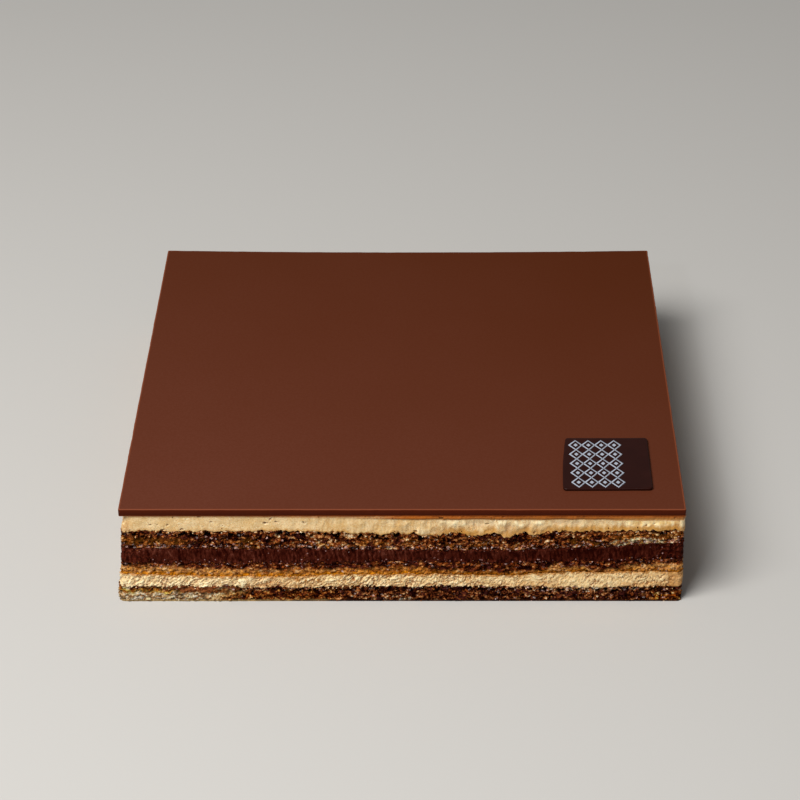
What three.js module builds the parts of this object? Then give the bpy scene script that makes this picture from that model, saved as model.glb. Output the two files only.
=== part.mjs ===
import * as THREE from "three";

// An opera cake, cut square. Three layers of soaked almond sponge are stacked with coffee buttercream and
// chocolate ganache, covered by a poured chocolate glaze, and a small chocolate plaque lies on top.
// Millimetres, +Z up. The origin is the middle of the underside, and the front of the cake faces -Y.

// Driving dimensions.
const glazeSide = 160; // the glaze is cut to this square
const footSide = 161; // the cut walls lean out to this square at the foot
const cakeHeight = 31;
const glazeThickness = 2.4;
const glazeOverhang = 0.5; // how far the glaze stands out over the cream below it
const cornerBlunt = 0.4; // how much of each upright corner of the layers is rubbed off
const backBow = 1.3; // how far the knife wandered into the back wall
const seamGap = 0.05; // air between two layers, so that they stay separate solids
const skinHeight = 0.7; // the smooth baked skin under the lowest sponge
const lipHeight = 1.2; // the strip of cream that the glaze pressed in
const plaque = { thickness: 0.8, corner: 1.4, bevel: 0.15, x: 59.2, y: -56.5 };
// The corners of the plaque, counted from its middle: it was cut by hand, a little out of square.
const plaqueCorners = [[-13.5, -13.7], [12.0, -13.5], [12.2, 14.4], [-11.8, 14.4]];

// Heights of the seams between the layers, at seven even steps from the left end of the cake to the right end.
const glazeUnderside = cakeHeight - glazeThickness;
const seams = {
  foot: [0, 0, 0, 0, 0, 0, 0],
  lowerSpongeTop: [5.4, 5.2, 5.0, 5.1, 5.1, 4.8, 5.4],
  lowerCreamTop: [10.0, 8.6, 8.2, 9.2, 8.7, 9.9, 9.9],
  middleSpongeTop: [12.9, 12.7, 12.8, 13.4, 13.1, 13.5, 14.2],
  ganacheTop: [17.8, 17.9, 17.8, 17.3, 17.3, 18.1, 19.4],
  upperSpongeTop: [23.3, 23.5, 23.4, 22.8, 23.2, 24.0, 24.1],
  upperCreamTop: Array(7).fill(glazeUnderside),
};
const seamWave = { height: 0.2, length: 11 }; // how unevenly the layers were spread between those steps

// How finely the walls are divided.
const columnsPerSide = 60;
const glazeColumnsPerSide = 16;
const columnJitter = 0.5; // share of a column by which its edges are shifted, so that crumbs aren't in rows
const rowJitter = 0.35;

// ---- Repeatable irregularity ----

// A number from 0 to 1 that belongs to one lattice point.
function dice(i, j, k) {
  let h = Math.imul(i, 374761393) ^ Math.imul(j, 668265263) ^ Math.imul(k, 1440662683);
  h = Math.imul(h ^ (h >>> 13), 1274126177);
  return ((h ^ (h >>> 16)) >>> 0) / 4294967295;
}

// Smooth lumps from -1 to 1, about `length` mm across.
function lumps(point, length, seed = 0) {
  const cell = [point.x, point.y, point.z].map((v) => v / length + 100 + seed);
  const base = cell.map(Math.floor);
  const ease = cell.map((v, axis) => THREE.MathUtils.smoothstep(v - base[axis], 0, 1));
  let sum = 0;
  for (let corner = 0; corner < 8; corner++) {
    const step = [corner & 1, (corner >> 1) & 1, corner >> 2];
    const weight = step.reduce((w, s, axis) => w * (s ? ease[axis] : 1 - ease[axis]), 1);
    sum += weight * dice(base[0] + step[0], base[1] + step[1], base[2] + step[2]);
  }
  return 2 * sum - 1;
}

// ---- The cut faces: how far each kind of layer stands out of the plane of the knife, in mm ----

// Open crumb: torn lumps with holes between them.
function crumb(point) {
  const grain = lumps(point, 2.2, 1);
  const hole = Math.max(0, lumps(point, 3.1, 2) - 0.3);
  return 0.1 + 0.4 * grain + 0.2 * lumps(point, 8, 3) - 0.9 * hole;
}

// Lowest sponge: crumb above, and below it the smooth skin that lay on the baking sheet.
function crumbOnSkin(point) {
  return point.z < skinHeight ? 0 : crumb(point) - 0.1;
}

// Cream dragged along by the knife in shallow waves, pressed in under the glaze.
function smoothCream(point) {
  const pressed = THREE.MathUtils.smoothstep(point.z, glazeUnderside - 1.5 * lipHeight, glazeUnderside - lipHeight);
  return -0.1 + 0.25 * lumps(point, 5, 4) - 0.45 * pressed;
}

// Cream torn into short ragged flakes.
function tornCream(point) {
  return 0.05 + 0.35 * lumps(point, 2.8, 5) + 0.15 * lumps(point, 9, 6);
}

// Ganache cut clean, with upright chatter marks from the blade.
function chatteredGanache(point) {
  const upright = new THREE.Vector3(point.x, point.y, point.z / 5);
  return -0.15 + 0.22 * lumps(upright, 2.6, 7) + 0.1 * lumps(point, 10, 8);
}

// ---- Layers ----

// Directions of the columns of a wall, counted once round the square. A direction times 80 mm is a point 80 mm out.
function rimDirections(perSide, jitter, blunt) {
  const corners = [[-1, -1], [1, -1], [1, 1], [-1, 1]];
  const cornerScale = 1 - blunt / (glazeSide / 2);
  const rim = [];
  for (let side = 0; side < 4; side++) {
    const [from, to] = [corners[side], corners[(side + 1) % 4]];
    for (let k = 0; k < perSide; k++) {
      const shift = k ? jitter * (dice(side, k, 11) - 0.5) : 0;
      const t = (k + shift) / perSide;
      const direction = new THREE.Vector2(...from).lerp(new THREE.Vector2(...to), t);
      if (side === 2) direction.y -= (backBow / (glazeSide / 2)) * (1 - direction.x ** 2);
      rim.push(k ? direction : direction.multiplyScalar(cornerScale));
    }
  }
  return rim;
}

const wallRim = rimDirections(columnsPerSide, columnJitter, cornerBlunt);
const glazeRim = rimDirections(glazeColumnsPerSide, 0, 0);

// Half the width of the cut cake at a height.
function halfWidth(z) {
  const top = glazeSide / 2 - glazeOverhang;
  return THREE.MathUtils.lerp(footSide / 2, top, z / glazeUnderside);
}

// Height of a seam where a column meets it: a smooth curve through its heights, with waves unless it is flat.
function seamHeight(seam, direction) {
  const along = ((direction.x + 1) / 2) * (seam.length - 1);
  const from = THREE.MathUtils.clamp(Math.floor(along), 0, seam.length - 2);
  const share = THREE.MathUtils.smoothstep(along - from, 0, 1);
  const level = THREE.MathUtils.lerp(seam[from], seam[from + 1], share);
  const flat = seam.every((height) => height === seam[0]);
  const place = new THREE.Vector3(direction.x, direction.y, 0).multiplyScalar(glazeSide / 2).setZ(seam[0]);
  return flat ? level : level + seamWave.height * lumps(place, seamWave.length, 9);
}

// Height of a seam on the axis of the cake, where its fan begins.
function seamOnAxis(seam) {
  return seam[(seam.length - 1) / 2];
}

// One closed layer: a wall of rows and columns, and a fan from the axis of the cake over its top and underside.
// Every fan of a seam lies in the same planes, because a rim that stands out further is scaled from the same axis.
function slab({ rim, lower, upper, rows, wall }) {
  const positions = [];
  const faces = [];
  const count = rim.length;
  const gapBelow = lower === seams.foot ? 0 : seamGap / 2;
  const gapAbove = seamGap / 2;
  const axisHeights = [seamOnAxis(lower) + gapBelow, seamOnAxis(upper) - gapAbove];

  for (let row = 0; row <= rows; row++) {
    rim.forEach((direction, column) => {
      const inner = row > 0 && row < rows;
      const share = (row + (inner ? rowJitter * (dice(row, column, 12) - 0.5) : 0)) / rows;
      const bottom = seamHeight(lower, direction) + gapBelow;
      const top = seamHeight(upper, direction) - gapAbove;
      const z = THREE.MathUtils.lerp(bottom, top, share);
      const place = new THREE.Vector3(direction.x, direction.y, 0).multiplyScalar(glazeSide / 2).setZ(z);
      const relief = column % columnsPerSide ? wall(place) : Math.max(wall(place), 0);
      const half = Math.min(halfWidth(z) + relief, footSide / 2);
      const reach = half / (glazeSide / 2);
      const axis = axisHeights[row === 0 ? 0 : 1];
      const height = inner ? z : axis + (z - axis) * reach;
      positions.push(direction.x * half, direction.y * half, height);
    });
  }
  axisHeights.forEach((height) => positions.push(0, 0, height));

  const underAxis = (rows + 1) * count;
  const overAxis = underAxis + 1;
  const topRow = rows * count;
  for (let column = 0; column < count; column++) {
    const next = (column + 1) % count;
    for (let row = 0; row < rows; row++) {
      const [a, b] = [row * count + column, row * count + next];
      const [c, d] = [b + count, a + count];
      if ((row + column) % 2) faces.push(a, b, c, a, c, d);
      else faces.push(a, b, d, b, c, d);
    }
    faces.push(underAxis, next, column);
    faces.push(overAxis, topRow + column, topRow + next);
  }
  return closedGeometry(positions, faces);
}

// The glaze: a flat poured sheet with clean cut edges, only broken by a fine bevel.
function glazeSheet() {
  const bevel = 0.3;
  const half = glazeSide / 2;
  const rings = [
    [glazeUnderside + seamGap, half],
    [cakeHeight - bevel, half],
    [cakeHeight, half - bevel],
  ];
  const positions = [];
  const faces = [];
  const count = glazeRim.length;
  rings.forEach(([z, reach]) => glazeRim.forEach((d) => positions.push(d.x * reach, d.y * reach, z)));
  positions.push(0, 0, rings[0][0], 0, 0, rings[2][0]);
  const underAxis = rings.length * count;
  for (let column = 0; column < count; column++) {
    const next = (column + 1) % count;
    for (let ring = 0; ring < 2; ring++) {
      const [a, b] = [ring * count + column, ring * count + next];
      faces.push(a, b, b + count, a, b + count, a + count);
    }
    faces.push(underAxis, next, column);
    faces.push(underAxis + 1, 2 * count + column, 2 * count + next);
  }
  return closedGeometry(positions, faces);
}

function closedGeometry(positions, faces) {
  const geometry = new THREE.BufferGeometry();
  geometry.setAttribute("position", new THREE.Float32BufferAttribute(positions, 3));
  geometry.setIndex(faces);
  geometry.computeVertexNormals();
  return geometry;
}

// The plaque: a thin poured tile with rounded corners.
function plaqueTile() {
  const { thickness, corner, bevel } = plaque;
  const corners = plaqueCorners.map(([x, y]) => new THREE.Vector2(x, y));
  const outline = new THREE.Shape();
  corners.forEach((point, index) => {
    const before = corners[(index + 3) % 4];
    const after = corners[(index + 1) % 4];
    const start = before.clone().sub(point).setLength(corner).add(point);
    const end = after.clone().sub(point).setLength(corner).add(point);
    if (index) outline.lineTo(start.x, start.y);
    else outline.moveTo(start.x, start.y);
    outline.quadraticCurveTo(point.x, point.y, end.x, end.y);
  });
  outline.closePath();
  return new THREE.ExtrudeGeometry(outline, {
    depth: thickness - 2 * bevel,
    curveSegments: 5,
    bevelThickness: bevel,
    bevelSize: bevel,
    bevelOffset: -bevel,
    bevelSegments: 1,
  });
}

// ---- Assembly ----

const finishes = {
  glaze: { color: 0x623424, roughness: 0.45, metalness: 0 },
  buttercream: { color: 0xd6b687, roughness: 0.6, metalness: 0 },
  sponge: { color: 0x552a17, roughness: 0.85, metalness: 0 },
  ganache: { color: 0x37120a, roughness: 0.5, metalness: 0 },
  plaque: { color: 0x2d1714, roughness: 0.3, metalness: 0 },
};

function addPiece(group, name, geometry, finish) {
  const piece = new THREE.Mesh(geometry, new THREE.MeshStandardMaterial(finishes[finish]));
  piece.name = name;
  group.add(piece);
  return piece;
}

// From the foot up: name, seam under it, seam over it, rows of its wall, how its wall was cut, finish.
const layers = [
  ["joconde_lower", "foot", "lowerSpongeTop", 4, crumbOnSkin, "sponge"],
  ["buttercream_lower", "lowerSpongeTop", "lowerCreamTop", 3, tornCream, "buttercream"],
  ["joconde_middle", "lowerCreamTop", "middleSpongeTop", 3, crumb, "sponge"],
  ["ganache", "middleSpongeTop", "ganacheTop", 3, chatteredGanache, "ganache"],
  ["joconde_upper", "ganacheTop", "upperSpongeTop", 4, crumb, "sponge"],
  ["buttercream_upper", "upperSpongeTop", "upperCreamTop", 3, smoothCream, "buttercream"],
];

const cake = new THREE.Group();
for (const [name, lower, upper, rows, wall, finish] of layers) {
  const geometry = slab({ rim: wallRim, lower: seams[lower], upper: seams[upper], rows, wall });
  addPiece(cake, name, geometry, finish);
}
addPiece(cake, "chocolate_glaze", glazeSheet(), "glaze");

const tile = addPiece(cake, "chocolate_plaque", plaqueTile(), "plaque");
tile.position.set(plaque.x, plaque.y, cakeHeight + seamGap + plaque.bevel);

export default cake;
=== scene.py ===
import math

import bpy
import numpy as np
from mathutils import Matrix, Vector, noise
from mathutils.bvhtree import BVHTree


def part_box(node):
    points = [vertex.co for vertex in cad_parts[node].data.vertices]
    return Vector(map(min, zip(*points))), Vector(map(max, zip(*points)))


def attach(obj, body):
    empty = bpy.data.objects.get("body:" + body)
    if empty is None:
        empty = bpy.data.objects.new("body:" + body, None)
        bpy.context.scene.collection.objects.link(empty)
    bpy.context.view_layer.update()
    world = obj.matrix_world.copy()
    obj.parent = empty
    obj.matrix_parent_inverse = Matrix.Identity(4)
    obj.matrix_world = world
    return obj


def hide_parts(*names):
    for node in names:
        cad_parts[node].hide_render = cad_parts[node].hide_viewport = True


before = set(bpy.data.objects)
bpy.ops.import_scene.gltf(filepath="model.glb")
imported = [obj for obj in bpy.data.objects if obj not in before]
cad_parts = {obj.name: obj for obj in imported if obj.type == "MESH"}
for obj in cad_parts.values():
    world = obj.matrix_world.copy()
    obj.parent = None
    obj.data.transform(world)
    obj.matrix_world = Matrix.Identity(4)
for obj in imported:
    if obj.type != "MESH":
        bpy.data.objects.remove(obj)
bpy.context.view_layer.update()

# ==== Lower sponge ====
# The foot of the cake: almond sponge, baked in a thin sheet and brushed with coffee syrup, dry near its left
# end. It lies on its baked skin. The whole stack was cut square with a long knife, which tore the crumb open.

MM = 0.001
COLUMN = 0.27 * MM  # width of one column of a cut wall
FRONT_COLUMN = 0.18 * MM  # the same on the front, the side that is served
CORNER = 1.3 * MM  # radius of the upright corners, where crumbs broke away
CAP = 4 * MM  # depth of the rim behind the cut, after which a slab is flat
BACK_BOW = 1.3 * MM  # how far the knife wandered into the back wall
OVERHANG = 0.5 * MM  # how far the glaze stands out over the cream
FOOT_SHIFT = np.array([-0.6, 0.3]) * MM  # where the foot of the stack lies, because the knife leaned
TOP_SHIFT = np.array([0.35, 0.0]) * MM  # where its top lies

foot_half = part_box("joconde_lower")[1][0]
glaze_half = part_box("chocolate_glaze")[1][0]
cream_half = glaze_half - OVERHANG
cream_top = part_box("chocolate_glaze")[0][2]


def square_rim(columns, corner):
    """Columns once round a square, from the back left corner by the front: corner shares and outward directions,
    for columns of these widths on the four sides."""
    shares, outward = [], []
    for side, column in enumerate(columns):
        straight = round(2 * (glaze_half - corner) / column)
        bend = max(3, round(math.pi / 2 * corner / column))
        facing = math.pi * (1 + side / 2)
        out = np.array([math.cos(facing), math.sin(facing)])
        onward = np.array([-out[1], out[0]])
        for k in range(straight):
            shares.append(out + (2 * k / straight - 1) * onward)
            outward.append(out)
        for k in range(bend):
            turned = facing + math.pi / 2 * k / bend
            shares.append(out + onward)
            outward.append(np.array([math.cos(turned), math.sin(turned)]))
    return np.array(shares), np.array(outward)


def on_rim(shares, outward, half, corner):
    """Points of the rim when the square is half that wide, with the back wall bowed in."""
    half = np.asarray(half)[..., None]
    xy = shares * (half - corner) + outward * corner
    x, y = xy[..., 0], xy[..., 1]
    back = np.clip(y / glaze_half, 0, 1) ** 4
    return np.stack([x, y - BACK_BOW * back * np.clip(1 - (x / glaze_half) ** 2, 0, 1)], axis=-1)


rim_shares, rim_outward = square_rim((COLUMN, FRONT_COLUMN, COLUMN, COLUMN), CORNER)
rim_xy = on_rim(rim_shares, rim_outward, np.full(len(rim_shares), cream_half), CORNER)
rim_step = np.linalg.norm(np.roll(rim_xy, -1, axis=0) - rim_xy, axis=1)
rim_run = np.concatenate([[0], np.cumsum(rim_step)[:-1]])  # distance along the cut from its start


def seam_on(node, ragged, seed, calm=1.0):
    """The seam on top of a layer: its smooth height at each column, and the uneven edge that the knife left, in
    metres. Towards the left end of the cake the edge can be calmer."""
    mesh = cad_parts[node].data
    solid = BVHTree.FromPolygons([v.co for v in mesh.vertices], [p.vertices for p in mesh.polygons])
    inside = on_rim(rim_shares, rim_outward, np.full(len(rim_shares), cream_half - 3 * MM), CORNER)
    heights = []
    for x, y in inside:
        hit = solid.ray_cast(Vector((x, y, 1)), Vector((0, 0, -1)))[0]
        heights.append(hit.z if hit else heights[-1])
    width = 9  # columns on either side that the height is averaged over
    wrapped = np.concatenate([heights[-width:], heights, heights[:width]])
    level = np.convolve(wrapped, np.ones(2 * width + 1) / (2 * width + 1), mode="valid")
    x, y = rim_xy[:, 0] / MM, rim_xy[:, 1] / MM

    def waves(length, shift):
        return np.array([noise.noise(Vector((a / length, b / length, seed + shift))) for a, b in zip(x, y)])

    coarse, knob, fine = waves(3.4, 0), np.abs(waves(2.1, 5)), waves(0.7, 9)
    uneven = 0.8 * coarse + 1.7 * (knob - knob.mean()) + 0.35 * fine
    share = np.interp(x, (-60, -10), (calm, 1))
    return level, level + ragged * share * uneven * MM


def wander(seam, *points):
    """Raises a seam by these amounts at these places along the front, as (place, amount) in mm."""
    shift = np.interp(rim_xy[:, 0] / MM, *zip(*points)) * MM
    return seam[0] + shift, seam[1] + shift


foot = (np.zeros(len(rim_shares)), np.zeros(len(rim_shares)))
lower_sponge_top = wander(
    seam_on("joconde_lower", ragged=0.6, seed=11),
    (-66, -0.25), (-60, 0), (-48, 0), (-44, -0.3), (-31, -0.3), (-24, 0), (8, 0), (12, 0.22), (26, 0.22), (30, 0),
    (42, 0), (46, -0.05), (60, -0.05), (64, -0.1)
)


def new_piece(name, mesh):
    piece = bpy.data.objects.new(name, mesh)
    bpy.context.collection.objects.link(piece)
    return piece


def new_mesh(name, points, faces):
    mesh = bpy.data.meshes.new(name)
    mesh.from_pydata(points, [], faces)
    return mesh


def ring_faces(count, rings):
    """For rings of count points, one after another: the points of a ring, their neighbours, and the faces between
    the rings."""
    here = np.arange(count)
    onward = (here + 1) % count
    start = np.arange(rings - 1)[:, None] * count
    quads = np.stack([start + here, start + onward, start + onward + count, start + here + count], axis=-1)
    return here, onward, quads.reshape(-1, 4).tolist()


def cut_slab(name, below, above, rows):
    """One layer as a closed mesh: a wall of rows and columns all round, and flat caps that its neighbours hide.

    Its points carry the outward direction, the run along the cut, and the distances up from the seam below and
    down from the seam above, all in mm."""
    count = len(rim_shares)
    share = np.linspace(0, 1, rows + 1)[:, None]
    z = below[1] + (above[1] - below[1]) * share
    half = foot_half + (cream_half - foot_half) * z / cream_top
    height = (z / cream_top)[..., None]
    wall_xy = on_rim(rim_shares, rim_outward, half, CORNER) + FOOT_SHIFT * (1 - height) + TOP_SHIFT * height
    wall = np.concatenate([wall_xy, z[..., None]], axis=-1).reshape(-1, 3)
    ring_xy = on_rim(rim_shares, rim_outward, np.full(count, cream_half - CAP), CORNER)
    under = np.column_stack([ring_xy, below[0]])
    over = np.column_stack([ring_xy, above[0]])
    middle = np.array([[0, 0, below[0].mean()], [0, 0, above[0].mean()]])
    points = np.concatenate([wall, under, over, middle])

    here, onward, wall_faces = ring_faces(count, rows + 1)
    under_at, over_at = len(wall), len(wall) + count
    top_row = rows * count
    caps = np.concatenate([
        np.stack([onward, here, under_at + here, under_at + onward], axis=-1),
        np.stack([top_row + here, top_row + onward, over_at + onward, over_at + here], axis=-1),
    ])
    fans = np.concatenate([
        np.stack([under_at + onward, under_at + here, np.full(count, len(points) - 2)], axis=-1),
        np.stack([over_at + here, over_at + onward, np.full(count, len(points) - 1)], axis=-1),
    ])
    mesh = new_mesh(name, points, wall_faces + caps.tolist() + fans.tolist())
    smooth = np.zeros(len(mesh.polygons), dtype=bool)
    smooth[: len(wall_faces)] = True
    mesh.polygons.foreach_set("use_smooth", smooth)

    def carry(label, kind, values):
        field = "vector" if kind == "FLOAT_VECTOR" else "value"
        filled = np.zeros((len(points), 3 if kind == "FLOAT_VECTOR" else 1))
        filled[: len(wall)] = values.reshape(len(wall), -1)
        mesh.attributes.new(label, kind, "POINT").data.foreach_set(field, filled.ravel())

    outward = np.column_stack([rim_outward, np.zeros(count)])
    carry("outward", "FLOAT_VECTOR", np.tile(outward, (rows + 1, 1)))
    carry("run", "FLOAT", np.tile(rim_run / MM, rows + 1))
    carry("up", "FLOAT", (z - below[1]) / MM)
    carry("down", "FLOAT", (above[1] - z) / MM)
    return new_piece(name, mesh)


class Wiring:
    """Adds nodes to one node tree, of a material or of geometry, and joins them as they are written down."""

    def __init__(self, tree):
        self.tree = tree
        self.shading = tree.bl_idname == "ShaderNodeTree"

    def add(self, kind, inputs=(), **settings):
        node = self.tree.nodes.new(kind)
        for key, value in settings.items():
            setattr(node, key, value)
        for key, value in dict(inputs).items():
            self.feed(node.inputs[key], value)
        return node

    def feed(self, socket, value):
        if isinstance(value, bpy.types.NodeSocket):
            self.tree.links.new(value, socket)
        else:
            socket.default_value = value

    def step(self, operation, *values, clamp=False):
        """One step of arithmetic."""
        node = self.add("ShaderNodeMath", enumerate(values), operation=operation, use_clamp=clamp)
        return node.outputs[0]

    def plus(self, first, second):
        return self.step("ADD", first, second)

    def less(self, first, second):
        return self.step("SUBTRACT", first, second)

    def clamped(self, value):
        """value, held between 0 and 1."""
        return self.step("ADD", value, 0.0, clamp=True)

    def product(self, first, *others, clamp=False):
        for other in others:
            first = self.step("MULTIPLY", first, other, clamp=clamp)
        return first

    def highest(self, first, *others):
        for other in others:
            first = self.step("MAXIMUM", first, other)
        return first

    def weigh(self, *pairs, start=0.0):
        """start plus each value times its weight."""
        total = start
        for value, weight in pairs:
            total = self.step("MULTIPLY_ADD", value, weight, total)
        return total

    def vector(self, operation, *values, **named):
        node = self.add("ShaderNodeVectorMath", enumerate(values), operation=operation)
        for key, value in named.items():
            self.feed(node.inputs[key], value)
        return node.outputs[0]

    def vector_length(self, value):
        return self.add("ShaderNodeVectorMath", {0: value}, operation="LENGTH").outputs["Value"]

    def draw(self, low, high, seed):
        """A random number or vector for each thing, between low and high."""
        kind = "FLOAT_VECTOR" if isinstance(low, tuple) else "FLOAT"
        node = self.add("FunctionNodeRandomValue", data_type=kind)
        for label, value in (("Min", low), ("Max", high), ("Seed", seed)):
            self.feed(next(s for s in node.inputs if s.name == label and s.enabled), value)
        return next(s for s in node.outputs if s.enabled)

    def parts(self, vector):
        return self.add("ShaderNodeSeparateXYZ", {0: vector}).outputs

    def join(self, x, y, z):
        return self.add("ShaderNodeCombineXYZ", {0: x, 1: y, 2: z}).outputs[0]

    def carried(self, label, vector=False):
        """A value that the mesh carries."""
        if self.shading:
            node = self.add("ShaderNodeAttribute", attribute_name=label)
            return node.outputs["Vector" if vector else "Fac"]
        kind = "FLOAT_VECTOR" if vector else "FLOAT"
        node = self.add("GeometryNodeInputNamedAttribute", {"Name": label}, data_type=kind)
        return next(s for s in node.outputs if s.enabled)

    def place(self):
        """Position on the cake in mm."""
        if self.shading:
            spot = self.add("ShaderNodeTexCoord").outputs["Object"]
        else:
            spot = self.add("GeometryNodeInputPosition").outputs[0]
        return self.vector("SCALE", spot, Scale=1 / MM)

    def shrunk(self, at, size):
        """A place counted in sizes instead of mm."""
        return self.vector("SCALE", at, Scale=self.step("DIVIDE", 1, size))

    def cloud(self, at, size, detail=2.0, roughness=0.5, squash=None, colour=False):
        """Soft noise from 0 to 1 with blotches about size mm wide, narrower where squash is above 1."""
        if squash:
            at = self.vector("MULTIPLY", at, squash)
        node = self.add(
            "ShaderNodeTexNoise",
            {"Vector": at, "Scale": 1 / size, "Detail": detail, "Roughness": roughness},
        )
        return node.outputs[1 if colour else 0]

    def eddy(self, at, size, detail=2.0):
        """A push in any direction, of at most a half each way, that changes about every size mm."""
        return self.vector("SUBTRACT", self.cloud(at, size, detail, colour=True), (0.5, 0.5, 0.5))

    def cells(self, at, size):
        """Cells about size mm wide: the distance from each cell's centre, and three random numbers for each."""
        node = self.add("ShaderNodeTexVoronoi", {"Vector": at, "Scale": 1 / size}, feature="F1")
        return node.outputs[0], self.parts(node.outputs[1])

    def beads(self, along):
        """The same as cells, on a line: along is a distance counted in cells."""
        node = self.add("ShaderNodeTexVoronoi", {"W": along, "Scale": 1.0}, voronoi_dimensions="1D")
        return node.outputs[0], self.parts(node.outputs[1])

    def ease(self, value, low, high, start=0.0, end=1.0):
        """A smooth step from start to end while value goes from low to high."""
        node = self.add(
            "ShaderNodeMapRange",
            {"Value": value, "From Min": low, "From Max": high, "To Min": start, "To Max": end},
            interpolation_type="SMOOTHSTEP",
        )
        return node.outputs[0]

    def band(self, value, low, full, still, high):
        """1 while value lies between full and still, and less down to 0 at low and at high."""
        return self.product(self.ease(value, low, full), self.ease(value, high, still))

    def uneven(self, value, at, size, sway, off, detail=2.0):
        """value less off, and more again by soft noise of up to sway, so that an edge drawn on it wanders."""
        return self.weigh((self.cloud(at, size, detail), sway), start=self.less(value, off))

    def from_middle(self, x, y):
        """How far a place lies from the nearer middle line of the cake: most at the upright corners."""
        return self.step("MINIMUM", self.step("ABSOLUTE", x), self.step("ABSOLUTE", y))

    def trend(self, value, start, *changes):
        """start, changed by a smooth step for each (from, to, change) that value passes."""
        for low, high, change in changes:
            start = self.plus(self.ease(value, low, high, 0.0, change), start)
        return start

    def tint(self, share, first, second):
        """A colour between two colours."""
        node = self.add("ShaderNodeMix", {0: share, 6: first, 7: second}, data_type="RGBA")
        return node.outputs[2]

    def ramp(self, value, stops):
        """A colour that follows value through stops of (place, colour)."""
        node = self.add("ShaderNodeValToRGB", {0: value})
        band = node.color_ramp.elements
        for element, (at, colour) in zip((band[0], band[1]), (stops[0], stops[-1])):
            element.position, element.color = at, colour
        for at, colour in stops[1:-1]:
            band.new(at).color = colour
        return node.outputs[0]


def colour(red, green, blue):
    """A screen colour from 0 to 255 as the light that it reflects."""
    parts = (red / 255, green / 255, blue / 255)
    linear = [part / 12.92 if part <= 0.04045 else ((part + 0.055) / 1.055) ** 2.4 for part in parts]
    return (*linear, 1.0)


def new_tree(name, **sizes):
    """A Geometry Nodes tree with named inputs for its sizes and its material. Returns its wiring and its inputs."""
    tree = bpy.data.node_groups.new(name, "GeometryNodeTree")
    tree.interface.new_socket("Geometry", in_out="INPUT", socket_type="NodeSocketGeometry")
    for label, size in sizes.items():
        socket = tree.interface.new_socket(label, in_out="INPUT", socket_type="NodeSocketFloat")
        socket.default_value = size
    tree.interface.new_socket("material", in_out="INPUT", socket_type="NodeSocketMaterial")
    tree.interface.new_socket("Geometry", in_out="OUTPUT", socket_type="NodeSocketGeometry")
    wiring = Wiring(tree)
    return wiring, wiring.add("NodeGroupInput").outputs


def end_tree(wiring, geometry, material):
    real = wiring.add("GeometryNodeRealizeInstances", {0: geometry}).outputs[0]
    painted = wiring.add("GeometryNodeSetMaterial", {"Geometry": real, "Material": material}).outputs[0]
    wiring.add("NodeGroupOutput", {0: painted})


def store(wiring, geometry, label, value, domain="POINT"):
    node = wiring.add(
        "GeometryNodeStoreNamedAttribute", {"Geometry": geometry, "Name": label}, data_type="FLOAT", domain=domain
    )
    wiring.feed(next(s for s in node.inputs if s.name == "Value" and s.enabled), value)
    return node.outputs[0]


def push_out(wiring, geometry, relief):
    """Moves the wall outwards by relief, in mm, once the tree has kept all that it worked out before."""
    kept = store(wiring, geometry, "relief", relief)
    shift = wiring.vector("SCALE", wiring.carried("outward", vector=True), Scale=MM)
    offset = wiring.vector("SCALE", shift, Scale=wiring.carried("relief"))
    return wiring.add("GeometryNodeSetPosition", {"Geometry": kept, "Offset": offset}).outputs[0]


def run_tree(piece, wiring, **values):
    """Runs a tree on a piece with these inputs, and leaves the piece a plain mesh."""
    modifier = piece.modifiers.new(wiring.tree.name, "NODES")
    modifier.node_group = wiring.tree
    for socket in wiring.tree.interface.items_tree:
        if socket.item_type == "SOCKET" and socket.in_out == "INPUT" and socket.name in values:
            modifier[socket.identifier] = values[socket.name]
    graph = bpy.context.evaluated_depsgraph_get()
    done = piece.evaluated_get(graph)
    mesh = bpy.data.meshes.new_from_object(done, preserve_all_data_layers=True, depsgraph=graph)
    piece.modifiers.remove(modifier)
    old, piece.data = piece.data, mesh
    bpy.data.meshes.remove(old)
    mesh.name = piece.name


def new_finish(name):
    """A material without nodes. Returns it, its wiring, and the place on the cake in mm."""
    material = bpy.data.materials.new(name)
    material.use_nodes = True
    material.node_tree.nodes.clear()
    wiring = Wiring(material.node_tree)
    return material, wiring, wiring.place()


def end_finish(wiring, tone, roughness, gloss, bump=None, soft=None):
    """Ends a material. bump gives the strength of its bumps, their depth in mm and what they follow, and soft how
    far light goes in."""
    looks = {"Base Color": tone, "Roughness": roughness, "Specular IOR Level": gloss, **(soft or {})}
    if bump:
        strength, depth, height = bump
        node = wiring.add("ShaderNodeBump", {"Strength": strength, "Distance": depth * MM, "Height": height})
        looks["Normal"] = node.outputs[0]
    shader = wiring.add("ShaderNodeBsdfPrincipled", looks)
    wiring.add("ShaderNodeOutputMaterial", {0: shader.outputs[0]})


# How a knife opens sponge: rounded crumbs, pores of which some are large, and hollows pulled open under the
# cream. Sizes are in mm. The shares say how many pores and hollows open, and how many of them to the right and at
# the dry left end. skin is the height of the baked skin underneath, which stays smooth.
crumb, put = new_tree(
    "torn crumb", crumb_size=0.95, pore_size=1.15, pore_share=0.5, pore_depth=0.8, hollow_size=2.6,
    hollow_share=0.4, right_share=0.5, dry_share=1.0, dry_swell=0.0, skin=0.0
)
at = crumb.place()
x = crumb.parts(at)[0]
bend = crumb.eddy(at, 1.2, detail=3)
bent = crumb.vector("ADD", at, crumb.vector("SCALE", bend, Scale=1.6))
flat = crumb.vector("MULTIPLY", bent, (0.8, 0.8, 1.45))
run, down, up = crumb.carried("run"), crumb.carried("down"), crumb.carried("up")
near_top = crumb.ease(down, 1.7, 0.5)
far, luck = crumb.cells(crumb.shrunk(flat, put["pore_size"]), 1.0)
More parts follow.
